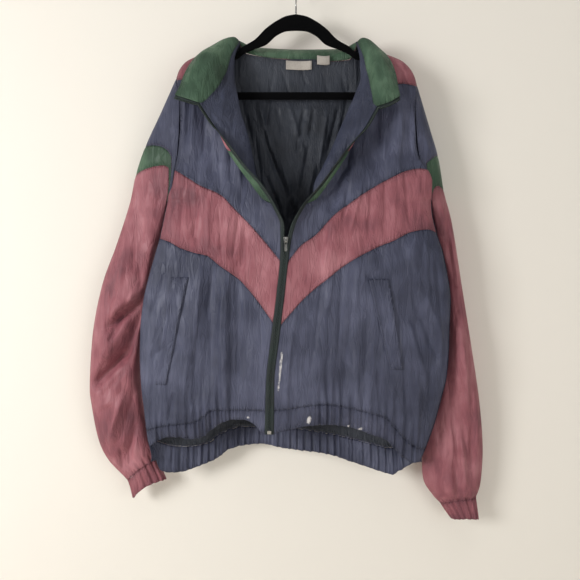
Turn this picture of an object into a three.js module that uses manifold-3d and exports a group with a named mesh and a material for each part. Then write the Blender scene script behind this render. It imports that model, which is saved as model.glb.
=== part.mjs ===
// A zip-front windbreaker of thin crinkled nylon, hung half open on a flat clothes hanger.
// Millimetres, +Z up. The wearer's front faces -Y and the wall behind is on the +Y side.
// The origin is the inside of the hook's crown, where the hanger rests on what carries it.
import * as THREE from "three";
import { mergeVertices } from "three/addons/utils/BufferGeometryUtils.js";
import Module from "manifold-3d";

const wasm = await Module();
wasm.setup();

// Cloth walls and the gaps between pieces
const wall = 1.5;
const seamGap = 0.3;
const layerGap = 1;
// In the tight turn of the lapel the pieces stand further apart
const foldGap = 1.6;

// Heights of the whole jacket
const shoulderRounding = 14;
const underarmZ = -430;
const armholeDepth = 28;

// Shares of the front's cloth, measured from the zip edge (0) to the side seam (1)
const curlShare = 0.05;
const lapelShare = 0.13;
const rollShare = 0.22;
const chestShare = 0.3;

// Zip
const tapeWidth = 7;
const tapeThickness = 1.2;
const chainWidth = 5;
const chainThickness = 1.8;
const zipBottomZ = -856;
const sliderZ = -505;
const sliderSize = { width: 9, height: 11, depth: 5 };
const tabSize = { width: 5, length: 19, thickness: 1.4 };

// Hanger
const hangerThickness = 5;
const barHeight = 14;
const barZ = -228;
const hookRadius = 22;
const hookWire = 3.2;

const finish = {
  navy: { color: 0x45495f, roughness: 0.55, metalness: 0 },
  burgundy: { color: 0x6d3c48, roughness: 0.55, metalness: 0 },
  green: { color: 0x2f5749, roughness: 0.55, metalness: 0 },
  lining: { color: 0x33384a, roughness: 0.6, metalness: 0 },
  tape: { color: 0x1a2224, roughness: 0.8, metalness: 0 },
  label: { color: 0xd9d6d0, roughness: 0.7, metalness: 0 },
  metal: { color: 0xb9bab8, roughness: 0.3, metalness: 1 },
  velvet: { color: 0x101012, roughness: 0.95, metalness: 0 },
};

// A table's rows have the named columns; the first column is the one that is looked up.
// Values between rows follow a smooth curve that never runs past its rows.
function table(columns, rows) {
  const names = columns.split(" ");
  const sorted = [...rows].sort((a, b) => a[0] - b[0]);
  const keys = sorted.map((row) => row[0]);
  const read = {};
  names.forEach((name, k) => {
    const values = sorted.map((row) => row[k]);
    read[name] = (at) => smoothRead(keys, values, at);
  });
  return read;
}

function smoothRead(keys, values, at) {
  const last = keys.length - 1;
  const x = Math.min(Math.max(at, keys[0]), keys[last]);
  let i = 0;
  while (i < last - 1 && x > keys[i + 1]) i += 1;
  const step = keys[i + 1] - keys[i];
  const t = (x - keys[i]) / step;
  const slope = (k) => (values[k + 1] - values[k]) / (keys[k + 1] - keys[k]);
  const tangent = (k) => {
    if (k === 0) return slope(0);
    if (k === last) return slope(last - 1);
    const a = slope(k - 1);
    const b = slope(k);
    return a * b > 0 ? (2 * a * b) / (a + b) : 0;
  };
  const t2 = t * t;
  const t3 = t2 * t;
  return (
    (2 * t3 - 3 * t2 + 1) * values[i] +
    (t3 - 2 * t2 + t) * step * tangent(i) +
    (3 * t2 - 2 * t3) * values[i + 1] +
    (t3 - t2) * step * tangent(i + 1)
  );
}

const mix = (a, b, t) => a + (b - a) * t;
const clamp = (x, low, high) => Math.min(Math.max(x, low), high);
const smoothStep = (x, low, high) => {
  const t = clamp((x - low) / (high - low), 0, 1);
  return t * t * (3 - 2 * t);
};

// The zip edge, the curl beside it and the roll line where each front turns out, at each height
const frontEdge = {
  left: table("z zipX zipY curlX curlY rollX rollY", [
    [-127, -224, -51, -212, -47, -108, -3],
    [-165, -214, -55, -203, -52, -117, -19],
    [-200, -201, -60, -189, -56, -116, -28],
    [-235, -186, -65, -174, -61, -110, -37],
    [-270, -166, -70, -156, -66, -103, -44],
    [-305, -144, -75, -139, -71, -92, -49],
    [-340, -121, -76, -126, -69, -83, -52],
    [-375, -95, -76, -104, -67, -76, -54],
    [-410, -64, -75, -77, -65, -70, -55],
    [-445, -42, -71, -52, -62, -63, -56],
    [-480, -28, -67, -37, -62, -56, -56],
    [-520, -28, -63, -40, -61, -59, -58],
    [-600, -35, -62, -48, -60, -67, -59],
    [-680, -45, -60, -58, -58, -77, -57],
    [-760, -54, -54, -67, -53, -87, -52],
    [-860, -57, -44, -69, -43, -90, -42],
  ]),
  right: table("z zipX zipY curlX curlY rollX rollY", [
    [-127, 222, -51, 207, -47, 116, -3],
    [-165, 210, -55, 195, -52, 121, -19],
    [-200, 191, -59, 178, -56, 121, -28],
    [-235, 170, -63, 159, -60, 110, -37],
    [-270, 142, -70, 133, -66, 95, -44],
    [-305, 122, -75, 114, -71, 80, -49],
    [-340, 96, -76, 98, -69, 65, -52],
    [-375, 71, -76, 77, -67, 48, -54],
    [-410, 45, -75, 53, -65, 33, -55],
    [-445, 15, -71, 27, -62, 32, -56],
    [-480, -3, -67, 7, -61, 24, -56],
    [-520, -12, -63, 0, -61, 19, -58],
    [-600, -21, -62, -8, -60, 11, -59],
    [-680, -31, -60, -18, -58, 2, -57],
    [-760, -40, -54, -27, -53, -7, -52],
    [-860, -41, -44, -29, -43, -9, -42],
  ]),
};

// Where the side of the body is seen from the front: the armhole above, the side fold below
const sideLine = {
  left: table("z x", [
    [-194, -225], [-220, -219], [-250, -214], [-286, -213], [-336, -216], [-372, -223],
    [-404, -229], [-422, -237], [-459, -243], [-501, -252], [-538, -263], [-574, -273],
    [-613, -282], [-668, -288], [-718, -289], [-768, -287], [-813, -282], [-863, -276],
    [-900, -268],
  ]),
  right: table("z x", [
    [-206, 227], [-262, 219], [-319, 220], [-346, 224], [-364, 234], [-379, 246],
    [-395, 251], [-450, 251], [-490, 259], [-520, 269], [-561, 278], [-596, 284],
    [-613, 285], [-665, 283], [-705, 282], [-754, 278], [-796, 268], [-841, 256],
    [-872, 245], [-905, 232],
  ]),
};

// The shoulder seam lies along the top of the hanger's arms
const shoulderLine = {
  left: table("x z", [
    [-108, -127], [-134, -139], [-162, -147], [-190, -155], [-208, -165], [-219, -179], [-225, -194],
  ]),
  right: table("x z", [
    [116, -128], [134, -138], [158, -146], [175, -152], [198, -162], [210, -172], [220, -187], [227, -206],
  ]),
};
const neckPoint = { left: -108, right: 116 };
const shoulderPoint = { left: { x: -225, z: -194 }, right: { x: 227, z: -206 } };

// How far the front and the back stand off the hanger's plane at each height
const depth = table("z front back", [
  [-127, 8, 8], [-165, 15, 13], [-200, 25, 18], [-260, 37, 23], [-330, 45, 26], [-420, 53, 29],
  [-500, 58, 31], [-600, 60, 31], [-700, 57, 30], [-800, 50, 28], [-950, 40, 24],
]);

// The seam round the neck, as far as each front reaches from its zip edge to the shoulder
const neckSeam = table("share z", [[0, -262], [0.05, -256], [0.13, -230], [0.18, -196], [0.22, -127]]);

const backNeck = table("x z y", [
  [-108, -127, 2], [-100, -142, 9], [-63, -150, 12], [-19, -154, 14], [27, -154, 14],
  [69, -158, 14], [101, -156, 10], [112, -142, 6], [116, -128, 2],
]);

// Seams of the colour blocks: by cloth share where they run under the lapel, else across the front
const yokeSeam = table("share z", [
  [0, -350], [0.05, -345], [0.22, -315], [0.3, -290], [0.45, -250], [0.64, -217], [0.8, -207], [1, -203],
]);
const rightYokeDrop = 12;
const stripeShare = 0.64;
const stripeSeam = table("share z", [
  [0, -442], [0.05, -432], [0.13, -400], [0.22, -360], [0.3, -318], [0.45, -264], [0.64, -220],
  [0.75, -210], [0.8, -207], [1, -203],
]);
const bandTop = {
  left: table("x z", [[-221, -375], [-196, -391], [-174, -405], [-137, -422], [-112, -447], [-72, -489], [-27, -544]]),
  right: table("x z", [
    [250, -374], [229, -372], [202, -377], [174, -390], [151, -402], [96, -438], [66, -461],
    [35, -495], [8, -515], [-15, -544],
  ]),
};
const bandBottom = {
  left: table("x z", [
    [-256, -498], [-230, -507], [-210, -518], [-184, -527], [-160, -533], [-140, -549],
    [-108, -571], [-81, -599], [-41, -654],
  ]),
  right: table("x z", [
    [264, -492], [241, -484], [209, -489], [174, -506], [151, -515], [96, -544], [60, -571], [17, -607], [-27, -656],
  ]),
};
const hemSeam = {
  left: table("x z", [
    [-276, -854], [-250, -845], [-229, -841], [-206, -838], [-184, -834], [-167, -823],
    [-151, -813], [-96, -812], [-57, -813],
  ]),
  right: table("x z", [
    [-46, -813], [-11, -810], [19, -805], [54, -802], [103, -810], [141, -820], [162, -827],
    [179, -845], [192, -860], [210, -877], [230, -888],
  ]),
  back: table("x z", [
    [-268, -874], [-236, -888], [-201, -892], [-167, -886], [-146, -870], [-101, -857], [-21, -859],
    [58, -870], [102, -878], [144, -888], [177, -894], [228, -888],
  ]),
};
const hemEdge = {
  left: table("x z", [
    [-268, -881], [-255, -872], [-232, -864], [-215, -864], [-196, -868], [-173, -864], [-151, -847],
    [-135, -836], [-117, -830], [-95, -830], [-77, -838], [-64, -852], [-51, -855],
  ]),
  right: table("x z", [
    [-39, -855], [-17, -849], [-2, -847], [32, -842], [63, -841], [96, -845], [116, -851],
    [136, -859], [164, -869], [180, -886], [192, -900], [215, -912], [227, -911],
  ]),
  back: table("x z", [
    [-262, -913], [-255, -932], [-239, -938], [-216, -938], [-193, -932], [-166, -922], [-149, -914],
    [-128, -899], [-94, -891], [-67, -889], [-27, -897], [10, -902], [58, -908], [109, -923],
    [136, -931], [166, -940], [182, -943], [196, -934], [215, -922], [227, -914],
  ]),
};

// Soft troughs (depth above 0) and ridges (below 0) from one end to the other, in front view
const frontFolds = [
  { x0: -148, z0: -570, x1: -163, z1: -790, width: 15, depth: 9 },
  { x0: -106, z0: -560, x1: -104, z1: -775, width: 12, depth: 8 },
  { x0: -126, z0: -540, x1: -132, z1: -800, width: 14, depth: -6 },
  { x0: -88, z0: -480, x1: -98, z1: -560, width: 11, depth: 6 },
  { x0: -207, z0: -690, x1: -250, z1: -750, width: 16, depth: 4 },
  { x0: -185, z0: -230, x1: -196, z1: -350, width: 12, depth: -7 },
  { x0: -158, z0: -300, x1: -150, z1: -400, width: 13, depth: 6 },
  { x0: -192, z0: -420, x1: -178, z1: -520, width: 14, depth: 6 },
  { x0: 92, z0: -340, x1: 60, z1: -460, width: 13, depth: 8 },
  { x0: 54, z0: -470, x1: 8, z1: -640, width: 14, depth: 8 },
  { x0: 78, z0: -430, x1: 56, z1: -560, width: 12, depth: -5 },
  { x0: 6, z0: -640, x1: -12, z1: -760, width: 11, depth: 7 },
  { x0: 150, z0: -230, x1: 132, z1: -380, width: 15, depth: 6 },
  { x0: 190, z0: -240, x1: 176, z1: -390, width: 14, depth: -6 },
  { x0: 194, z0: -620, x1: 240, z1: -710, width: 16, depth: 5 },
  { x0: 212, z0: -500, x1: 214, z1: -600, width: 16, depth: -6 },
  { x0: 100, z0: -620, x1: 84, z1: -780, width: 15, depth: 7 },
];
const backFolds = [
  { x0: -120, z0: -300, x1: -150, z1: -560, width: 20, depth: 5 },
  { x0: -40, z0: -260, x1: -30, z1: -520, width: 18, depth: -4 },
  { x0: 60, z0: -330, x1: 84, z1: -620, width: 20, depth: 5 },
  { x0: 150, z0: -320, x1: 130, z1: -600, width: 18, depth: -4 },
  { x0: -200, z0: -560, x1: -180, z1: -800, width: 18, depth: 5 },
  { x0: 180, z0: -640, x1: 200, z1: -820, width: 18, depth: 4 },
];

function foldDepth(folds, x, z) {
  return folds.reduce((sum, fold) => {
    const dx = fold.x1 - fold.x0;
    const dz = fold.z1 - fold.z0;
    const length = Math.hypot(dx, dz);
    const along = ((x - fold.x0) * dx + (z - fold.z0) * dz) / (length * length);
    const across = ((x - fold.x0) * dz - (z - fold.z0) * dx) / length;
    const ends = smoothStep(along, -0.15, 0.25) * (1 - smoothStep(along, 0.75, 1.15));
    return sum + fold.depth * ends * Math.exp(-((across / fold.width) ** 2));
  }, 0);
}

// The elastic gathers the hem in small waves that die out up the panel
const gatherHeight = 2.2;
const gatherPitch = 15;
const gatherReach = 70;
function gather(x, z, seamZ) {
  const reach = z < seamZ ? 1 : 1 - smoothStep(z - seamZ, 0, gatherReach);
  return gatherHeight * reach * Math.cos((2 * Math.PI * x) / gatherPitch);
}

// The side seam leans forward below the arm, and the armhole is an oval from the shoulder point down to the underarm
const sideLean = table("z y", [[-194, 0], [-312, -4], [-400, -10], [-430, -16], [-475, -26], [-560, -24], [-900, -20]]);
function armhole(side, z) {
  const top = shoulderPoint[side].z;
  const middle = (top + underarmZ) / 2;
  const half = (top - underarmZ) / 2;
  const lean = sideLean.y(z);
  const across = Math.sqrt(Math.max(0, 1 - ((z - middle) / half) ** 2));
  return { front: lean - armholeDepth * across, back: lean + armholeDepth * across };
}

// Near the shoulder seam the armhole's shape is read at the same drop below the seam
function armAt(side, z, drop) {
  const level = mix(shoulderPoint[side].z - drop, z, smoothStep(drop, 20, 120));
  return armhole(side, Math.min(level, shoulderPoint[side].z));
}

const belowArm = (z) => smoothStep(-z, 345, 400);
const rise = (drop) => Math.sqrt(1 - (1 - clamp(drop / shoulderRounding, 0, 1)) ** 2);

// The outer face of a front at a share of its width and a height
const sideSquareness = 2.6;
function frontGround(side, share, z) {
  const edge = frontEdge[side];
  const t = (share - rollShare) / (1 - rollShare);
  const x = mix(edge.rollX(z), sideLine[side].x(z), t);
  const drop = shoulderLine[side].z(x) - z;
  const chest = -(seamGap + (depth.front(z) - seamGap) * rise(drop));
  const arm = Math.min(armAt(side, z, drop).front, -seamGap / 2) - 1.5 * seamGap;
  const w = belowArm(z);
  const hung = 1 - t ** 3;
  const turned = Math.max(0, 1 - Math.max(t, 0) ** sideSquareness) ** (1 / sideSquareness);
  const seam = hemSeam[side].z(x);
  const waves = gather(x, z, seam) * smoothStep(t, 0.12, 0.25) * (1 - smoothStep(t, 0.85, 0.97));
  const folds = foldDepth(frontFolds, x, z) * smoothStep(t, 0.02, 0.12) * (1 - smoothStep(t, 0.8, 0.95));
  const tuck = 10 * smoothStep(seam - z, 0, 45) * (1 - smoothStep(t, 0.85, 0.97));
  const y = arm + (chest - arm) * mix(hung, turned, w);
  return [x, y + (folds + tuck) * rise(drop) + waves];
}

const lapelLiftWidth = 30;
function frontShell(side, share, z) {
  const edge = frontEdge[side];
  if (share >= chestShare) {
    const [x, y] = frontGround(side, share, z);
    return new THREE.Vector3(x, y, z);
  }
  const zip = [edge.zipX(z), edge.zipY(z)];
  const curl = [edge.curlX(z), edge.curlY(z)];
  const roll = [edge.rollX(z), edge.rollY(z)];
  const folded = clamp((Math.abs(roll[0]) - Math.abs(curl[0])) / -lapelLiftWidth, 0, 1);
  const lapel = [mix(roll[0], curl[0], 0.5), mix(roll[1], curl[1], 0.5) - 4 * folded];
  const shares = [-0.05, 0, curlShare, lapelShare, rollShare, chestShare, 0.4];
  const before = [2 * zip[0] - curl[0], 2 * zip[1] - curl[1]];
  const points = [before, zip, curl, lapel, roll, frontGround(side, chestShare, z), frontGround(side, 0.4, z)];
  const [x, y] = passThrough(shares, points, share);
  return new THREE.Vector3(x, y, z);
}

// A smooth curve through points at uneven shares
function passThrough(shares, points, at) {
  let i = 1;
  while (i < shares.length - 3 && at > shares[i + 1]) i += 1;
  const step = shares[i + 1] - shares[i];
  const t = (at - shares[i]) / step;
  const tangent = (k, axis) => (points[k + 1][axis] - points[k - 1][axis]) / (shares[k + 1] - shares[k - 1]);
  return [0, 1].map((axis) => {
    const t2 = t * t;
    const t3 = t2 * t;
    return (
      (2 * t3 - 3 * t2 + 1) * points[i][axis] +
      (t3 - 2 * t2 + t) * step * tangent(i, axis) +
      (3 * t2 - 2 * t3) * points[i + 1][axis] +
      (t3 - t2) * step * tangent(i + 1, axis)
    );
  });
}

// The height at which a seam that is given across the front crosses a column of the cloth
function crossing(line, side, share) {
  let z = line.z(sideLine[side].x(-500));
  for (let pass = 0; pass < 14; pass += 1) {
    z = mix(z, line.z(frontShell(side, share, z).x), 0.7);
  }
  return z;
}

function neckTop(side, share) {
  if (share <= rollShare) return neckSeam.z(share) - (side === "right" ? 6 * (1 - share / rollShare) : 0);
  return crossing(shoulderLine[side], side, share);
}
// The front's corner at the neck point stays below the collar's fold
function frontTop(side, share) {
  return neckTop(side, share) - 11 * smoothStep(share, 0.15, 0.21) * (1 - smoothStep(share, 0.23, chestShare));
}

const drop = (side) => (side === "right" ? rightYokeDrop : 0);
const frontSeams = {
  top: frontTop,
  yoke: (side, share) => yokeSeam.z(share) - drop(side) * smoothStep(share, 0.6, 1),
  stripe: (side, share) => stripeSeam.z(share) - drop(side) * smoothStep(share, 0.6, 1),
  bandTop: (side, share) => crossing(bandTop[side], side, share),
  bandBottom: (side, share) => crossing(bandBottom[side], side, share),
  hemSeam: (side, share) => crossing(hemSeam[side], side, share),
  hemEdge: (side, share) => crossing(hemEdge[side], side, share),
};

// The outer face of the back at a place across it, from -1 (left side) to 1 (right side)
const backSquareness = 2.1;
function backX(across, z) {
  return mix(sideLine.left.x(z), sideLine.right.x(z), (across + 1) / 2);
}
function backTop(across) {
  let z = -200;
  for (let pass = 0; pass < 14; pass += 1) {
    const x = backX(across, z);
    const side = x < 0 ? "left" : "right";
    const onNeck = x > neckPoint.left && x < neckPoint.right;
    z = mix(z, onNeck ? backNeck.z(x) : shoulderLine[side].z(x), 0.7);
  }
  return z;
}
function backShell(across, z) {
  const x = backX(across, z);
  const side = x < 0 ? "left" : "right";
  const onNeck = x > neckPoint.left && x < neckPoint.right;
  const top = onNeck ? -100 : shoulderLine[side].z(x);
  const nearNeck = onNeck ? smoothStep(Math.min(x - neckPoint.left, neckPoint.right - x), 0, 16) : 0;
  const lift = mix(rise((onNeck ? backNeck.z(x) : top) - z), 1, nearNeck);
  const flat = seamGap + (depth.back(z) - seamGap) * lift;
  const fall = onNeck ? 100 : top - z;
  const arm = Math.max(armAt(side, z, fall).back, belowArm(z) > 0.9 ? -100 : seamGap / 2) + 1.5 * seamGap;
  const t = Math.abs(across);
  const hung = 1 - t ** 3;
  const turned = Math.max(0, 1 - t ** backSquareness) ** (1 / backSquareness);
  const seam = hemSeam.back.z(x);
  const waves = gather(x, z, seam) * (1 - smoothStep(t, 0.85, 0.97));
  const folds = foldDepth(backFolds, x, z) * (1 - smoothStep(t, 0.7, 0.9));
  const tuck = 6 * smoothStep(seam - z, 0, 45) * (1 - smoothStep(t, 0.85, 0.97));
  const y = arm + (flat - arm) * mix(hung, turned, belowArm(z));
  return new THREE.Vector3(x, y - folds * lift - waves - tuck, z);
}
const backYokeZ = -300;
const backSeams = {
  top: backTop,
  yoke: (across) => backYokeZ - 10 * Math.cos((Math.PI * across) / 2),
  hemSeam: (across) => atBack(hemSeam.back, across),
  hemEdge: (across) => atBack(hemEdge.back, across),
};
function atBack(line, across) {
  let z = -880;
  for (let pass = 0; pass < 14; pass += 1) z = mix(z, line.z(backX(across, z)), 0.7);
  return z;
}

// Sleeve loops below the armhole: the outer and inner ends of each, and how the loop bows up
const sleeveRows = {
  left: [
    { outerX: -255, outerZ: -260, innerX: -250, innerZ: -446, y: 2, half: 28, bow: 16 },
    { outerX: -286, outerZ: -323, innerX: -257, innerZ: -469, y: 8, half: 26, bow: 19 },
    { outerX: -305, outerZ: -376, innerX: -263, innerZ: -496, y: 12, half: 26, bow: 20 },
    { outerX: -317, outerZ: -430, innerX: -268, innerZ: -530, y: 14, half: 27, bow: 20 },
    { outerX: -343, outerZ: -509, innerX: -279, innerZ: -585, y: 16, half: 28, bow: 20 },
    { outerX: -369, outerZ: -583, innerX: -289, innerZ: -636, y: 15, half: 30, bow: 15 },
    { outerX: -387, outerZ: -670, innerX: -296, innerZ: -699, y: 17, half: 30, bow: 6 },
    { outerX: -394, outerZ: -770, innerX: -297, innerZ: -774, y: 18, half: 30, bow: 0 },
    { outerX: -391, outerZ: -815, innerX: -291, innerZ: -828, y: 20, half: 28, bow: 0 },
    { outerX: -378, outerZ: -882, innerX: -280, innerZ: -878, y: 22, half: 26, bow: 0 },
    { outerX: -358, outerZ: -923, innerX: -271, innerZ: -902, y: 24, half: 23, bow: 4 },
    { outerX: -323, outerZ: -960, innerX: -267, innerZ: -919, y: 24, half: 17, bow: 4 },
    { outerX: -313, outerZ: -994, innerX: -250, innerZ: -958, y: 24, half: 16, bow: 8 },
  ],
  right: [
    { outerX: 253, outerZ: -292, innerX: 262, innerZ: -440, y: 2, half: 28, bow: 9 },
    { outerX: 269, outerZ: -342, innerX: 268, innerZ: -470, y: 7, half: 26, bow: 5 },
    { outerX: 281, outerZ: -408, innerX: 274, innerZ: -502, y: 11, half: 26, bow: 3 },
    { outerX: 297, outerZ: -470, innerX: 279, innerZ: -543, y: 14, half: 28, bow: 2 },
    { outerX: 317, outerZ: -596, innerX: 290, innerZ: -619, y: 15, half: 30, bow: 4 },
    { outerX: 334, outerZ: -699, innerX: 286, innerZ: -712, y: 17, half: 30, bow: 0 },
    { outerX: 350, outerZ: -801, innerX: 269, innerZ: -808, y: 19, half: 30, bow: 0 },
    { outerX: 358, outerZ: -891, innerX: 246, innerZ: -887, y: 21, half: 29, bow: 0 },
    { outerX: 355, outerZ: -957, innerX: 244, innerZ: -953, y: 22, half: 27, bow: 0 },
    { outerX: 349, outerZ: -982, innerX: 261, innerZ: -985, y: 22, half: 23, bow: 0 },
    { outerX: 345, outerZ: -993, innerX: 278, innerZ: -1003, y: 22, half: 18, bow: 4 },
    { outerX: 350, outerZ: -1033, innerX: 299, innerZ: -1033, y: 22, half: 17, bow: 4 },
  ],
};
// Loop numbers at which the sleeve changes colour; the armhole is loop 0
const sleeveSeams = {
  left: { stripeTop: 2, stripeBottom: 3, cuff: 12, end: 13 },
  right: { stripeTop: 2, stripeBottom: 3, cuff: 11, end: 12 },
};
// Both seams of the stripe climb from the sleeve's outer edge towards the armhole, and so quickly
const stripeClimb = {
  left: { stripeTop: { to: 0.8, pace: 1.9 }, stripeBottom: { to: 1.1, pace: 1.75 } },
  right: { stripeTop: { to: 0.8, pace: 1.9 }, stripeBottom: { to: 1.1, pace: 1.1 } },
};
function sleeveSeam(side, name, inward) {
  const climb = stripeClimb[side][name];
  if (name === "armhole") return 0;
  if (!climb) return sleeveSeams[side][name];
  return mix(sleeveSeams[side][name], climb.to, Math.min(1, climb.pace * inward));
}
const sleeveFolds = {
  left: [
    { x0: -292, z0: -640, x1: -372, z1: -775, width: 18, depth: 9 },
    { x0: -300, z0: -700, x1: -345, z1: -850, width: 16, depth: -7 },
    { x0: -290, z0: -830, x1: -330, z1: -930, width: 12, depth: 7 },
    { x0: -300, z0: -430, x1: -290, z1: -590, width: 14, depth: 6 },
  ],
  right: [
    { x0: 285, z0: -480, x1: 310, z1: -690, width: 14, depth: 7 },
    { x0: 300, z0: -620, x1: 330, z1: -840, width: 15, depth: -6 },
    { x0: 285, z0: -800, x1: 315, z1: -970, width: 13, depth: 8 },
    { x0: 260, z0: -900, x1: 300, z1: -985, width: 12, depth: -5 },
  ],
};

function sleeveLoop(side, number, angle) {
  const sweep = Math.sin(angle);
  if (number <= 0) {
    const top = shoulderPoint[side].z;
    const z = mix((top + underarmZ) / 2, top, Math.cos(angle));
    const oval = armhole(side, z);
    const lean = (oval.front + oval.back) / 2;
    return new THREE.Vector3(sideLine[side].x(z), lean - armholeDepth * sweep, z);
  }
  const rows = sleeveRows[side];
  const row = rows[Math.min(number, rows.length) - 1];
  const halfX = (row.outerX - row.innerX) / 2;
  const halfZ = (row.outerZ - row.innerZ) / 2;
  const length = Math.hypot(halfX, halfZ);
  const sign = side === "left" ? 1 : -1;
  const bow = (row.bow * sweep * sweep) / length;
  return new THREE.Vector3(
    (row.outerX + row.innerX) / 2 + halfX * Math.cos(angle) + sign * bow * halfZ,
    row.y - row.half * sweep,
    (row.outerZ + row.innerZ) / 2 + halfZ * Math.cos(angle) - sign * bow * halfX,
  );
}

// The sleeve's outer face: angle 0 is its outer edge, a quarter turn its front
const cuffGathers = 14;
function sleeveShell(side, angle, along) {
  const i = Math.floor(Math.min(along, sleeveRows[side].length - 0.001));
  const t = along - i;
  const loops = [i - 1, i, i + 1, i + 2].map((number) => sleeveLoop(side, number, angle));
  if (i === 0) loops[0].copy(loops[1]).multiplyScalar(2).sub(loops[2]);
  const point = new THREE.Vector3();
  ["x", "y", "z"].forEach((axis) => {
    const [a, b, c, d] = loops.map((loop) => loop[axis]);
    const middle = 0.5 * (2 * b + (c - a) * t + (2 * a - 5 * b + 4 * c - d) * t * t);
    point[axis] = middle + 0.5 * (3 * b - a - 3 * c + d) * t ** 3;
  });
  const facing = Math.sin(angle);
  const fade = smoothStep(along, 1.5, 3.5);
  point.y += foldDepth(sleeveFolds[side], point.x, point.z) * facing * Math.abs(facing) * fade;
  const nearCuff = smoothStep(along, sleeveSeams[side].cuff - 1.2, sleeveSeams[side].cuff);
  const wave = 1.4 * nearCuff * Math.cos(cuffGathers * angle);
  point.y -= wave * facing;
  point.x += (side === "left" ? -1 : 1) * wave * Math.cos(angle);
  return point;
}

// A closed wall of cloth: a grid of outer points, the same points moved in, and the edges between
function clothGeometry(outerAt, columns, rows, { closed = false, thickness = wall, offset = 0, flip = false } = {}) {
  const outer = [];
  const inner = [];
  const small = 1e-3;
  const count = closed ? columns - 1 : columns;
  for (let r = 0; r < rows; r += 1) {
    for (let c = 0; c < count; c += 1) {
      const u = c / (columns - 1);
      const v = r / (rows - 1);
      const uStep = u > 0.5 && !closed ? -small : small;
      const vStep = v > 0.5 ? -small : small;
      const point = outerAt(u, v);
      const alongU = outerAt(u + uStep, v).sub(point).multiplyScalar(Math.sign(uStep));
      const alongV = outerAt(u, v + vStep).sub(point).multiplyScalar(Math.sign(vStep));
      const normal = alongU.cross(alongV).normalize().multiplyScalar(flip ? -1 : 1);
      outer.push(point.clone().addScaledVector(normal, offset));
      inner.push(point.clone().addScaledVector(normal, offset - thickness));
    }
  }
  const faces = [];
  const quad = (a, b, c, d) => {
    if (flip) faces.push(a, d, c, a, c, b);
    else faces.push(a, b, c, a, c, d);
  };
  const at = (c, r) => r * count + (c % count);
  const under = outer.length;
  const spans = closed ? count : count - 1;
  for (let r = 0; r < rows - 1; r += 1) {
    for (let c = 0; c < spans; c += 1) {
      const corners = [at(c, r), at(c + 1, r), at(c + 1, r + 1), at(c, r + 1)];
      quad(...corners);
      // The inner side is split along the same diagonal, so the wall keeps its thickness
      quad(...[0, 3, 2, 1].map((k) => corners[k] + under));
    }
  }
  for (let c = 0; c < spans; c += 1) {
    quad(at(c, 0) + under, at(c + 1, 0) + under, at(c + 1, 0), at(c, 0));
    quad(at(c, rows - 1), at(c + 1, rows - 1), at(c + 1, rows - 1) + under, at(c, rows - 1) + under);
  }
  if (!closed) {
    for (let r = 0; r < rows - 1; r += 1) {
      quad(at(0, r), at(0, r + 1), at(0, r + 1) + under, at(0, r) + under);
      quad(at(count - 1, r + 1), at(count - 1, r), at(count - 1, r) + under, at(count - 1, r + 1) + under);
    }
  }
  const geometry = new THREE.BufferGeometry();
  const points = [...outer, ...inner].flatMap((p) => [p.x, p.y, p.z]);
  geometry.setAttribute("position", new THREE.BufferAttribute(new Float32Array(points), 3));
  geometry.setIndex(faces);
  return geometry;
}

// Two closed shapes joined into one
function joined(first, second) {
  const solid = (geometry) => {
    geometry.deleteAttribute("normal");
    geometry.deleteAttribute("uv");
    const merged = mergeVertices(geometry, 1e-4);
    const vertProperties = new Float32Array(merged.attributes.position.array);
    const triVerts = new Uint32Array(merged.index.array);
    return new wasm.Manifold(new wasm.Mesh({ numProp: 3, vertProperties, triVerts }));
  };
  const mesh = solid(first).add(solid(second)).getMesh();
  const geometry = new THREE.BufferGeometry();
  geometry.setAttribute("position", new THREE.BufferAttribute(mesh.vertProperties, 3));
  geometry.setIndex(new THREE.BufferAttribute(mesh.triVerts, 1));
  return geometry;
}

const jacket = new THREE.Group();
function add(name, geometry, look) {
  const mesh = new THREE.Mesh(geometry, new THREE.MeshStandardMaterial(finish[look]));
  mesh.name = name;
  jacket.add(mesh);
  return mesh;
}

// Columns are closer together over the lapel and the side fold
const frontShares = [0, 0.03, 0.07, 0.12, 0.17, 0.2, 0.22, 0.24, 0.26, 0.29, 0.34, 0.43, 0.53, 0.64, 0.76, 0.87, 0.95, 1];
function shareAt(shares, u) {
  const place = clamp(u, 0, 1) * (shares.length - 1);
  const i = Math.min(Math.floor(place), shares.length - 2);
  return mix(shares[i], shares[i + 1], place - i);
}

// Panels stop just short of the zip edge
const trimmed = (share) => Math.max(share, 0.0008);

// A seam runs straight between the columns that its two panels share
function straightBetween(shares, heightAt) {
  const heights = shares.map(heightAt);
  return (share) => {
    let i = 0;
    while (i < shares.length - 2 && share > shares[i + 1]) i += 1;
    return mix(heights[i], heights[i + 1], (share - shares[i]) / (shares[i + 1] - shares[i]));
  };
}

function frontPanel(name, side, topSeam, bottomSeam, rows, look, { shares = frontShares, ease = 1 } = {}) {
  const topAt = straightBetween(frontShares, (share) => frontSeams[topSeam](side, share));
  const bottomAt = straightBetween(frontShares, (share) => frontSeams[bottomSeam](side, share));
  const outerAt = (u, v) => {
    const share = trimmed(shareAt(shares, u));
    const gap = mix(foldGap, seamGap, smoothStep(share, rollShare, chestShare + 0.04));
    return frontShell(side, share, mix(topAt(share) - gap, bottomAt(share) + gap, v ** ease));
  };
  const geometry = clothGeometry(outerAt, shares.length, rows, { flip: side === "right" });
  add(name, geometry, look);
}

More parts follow.
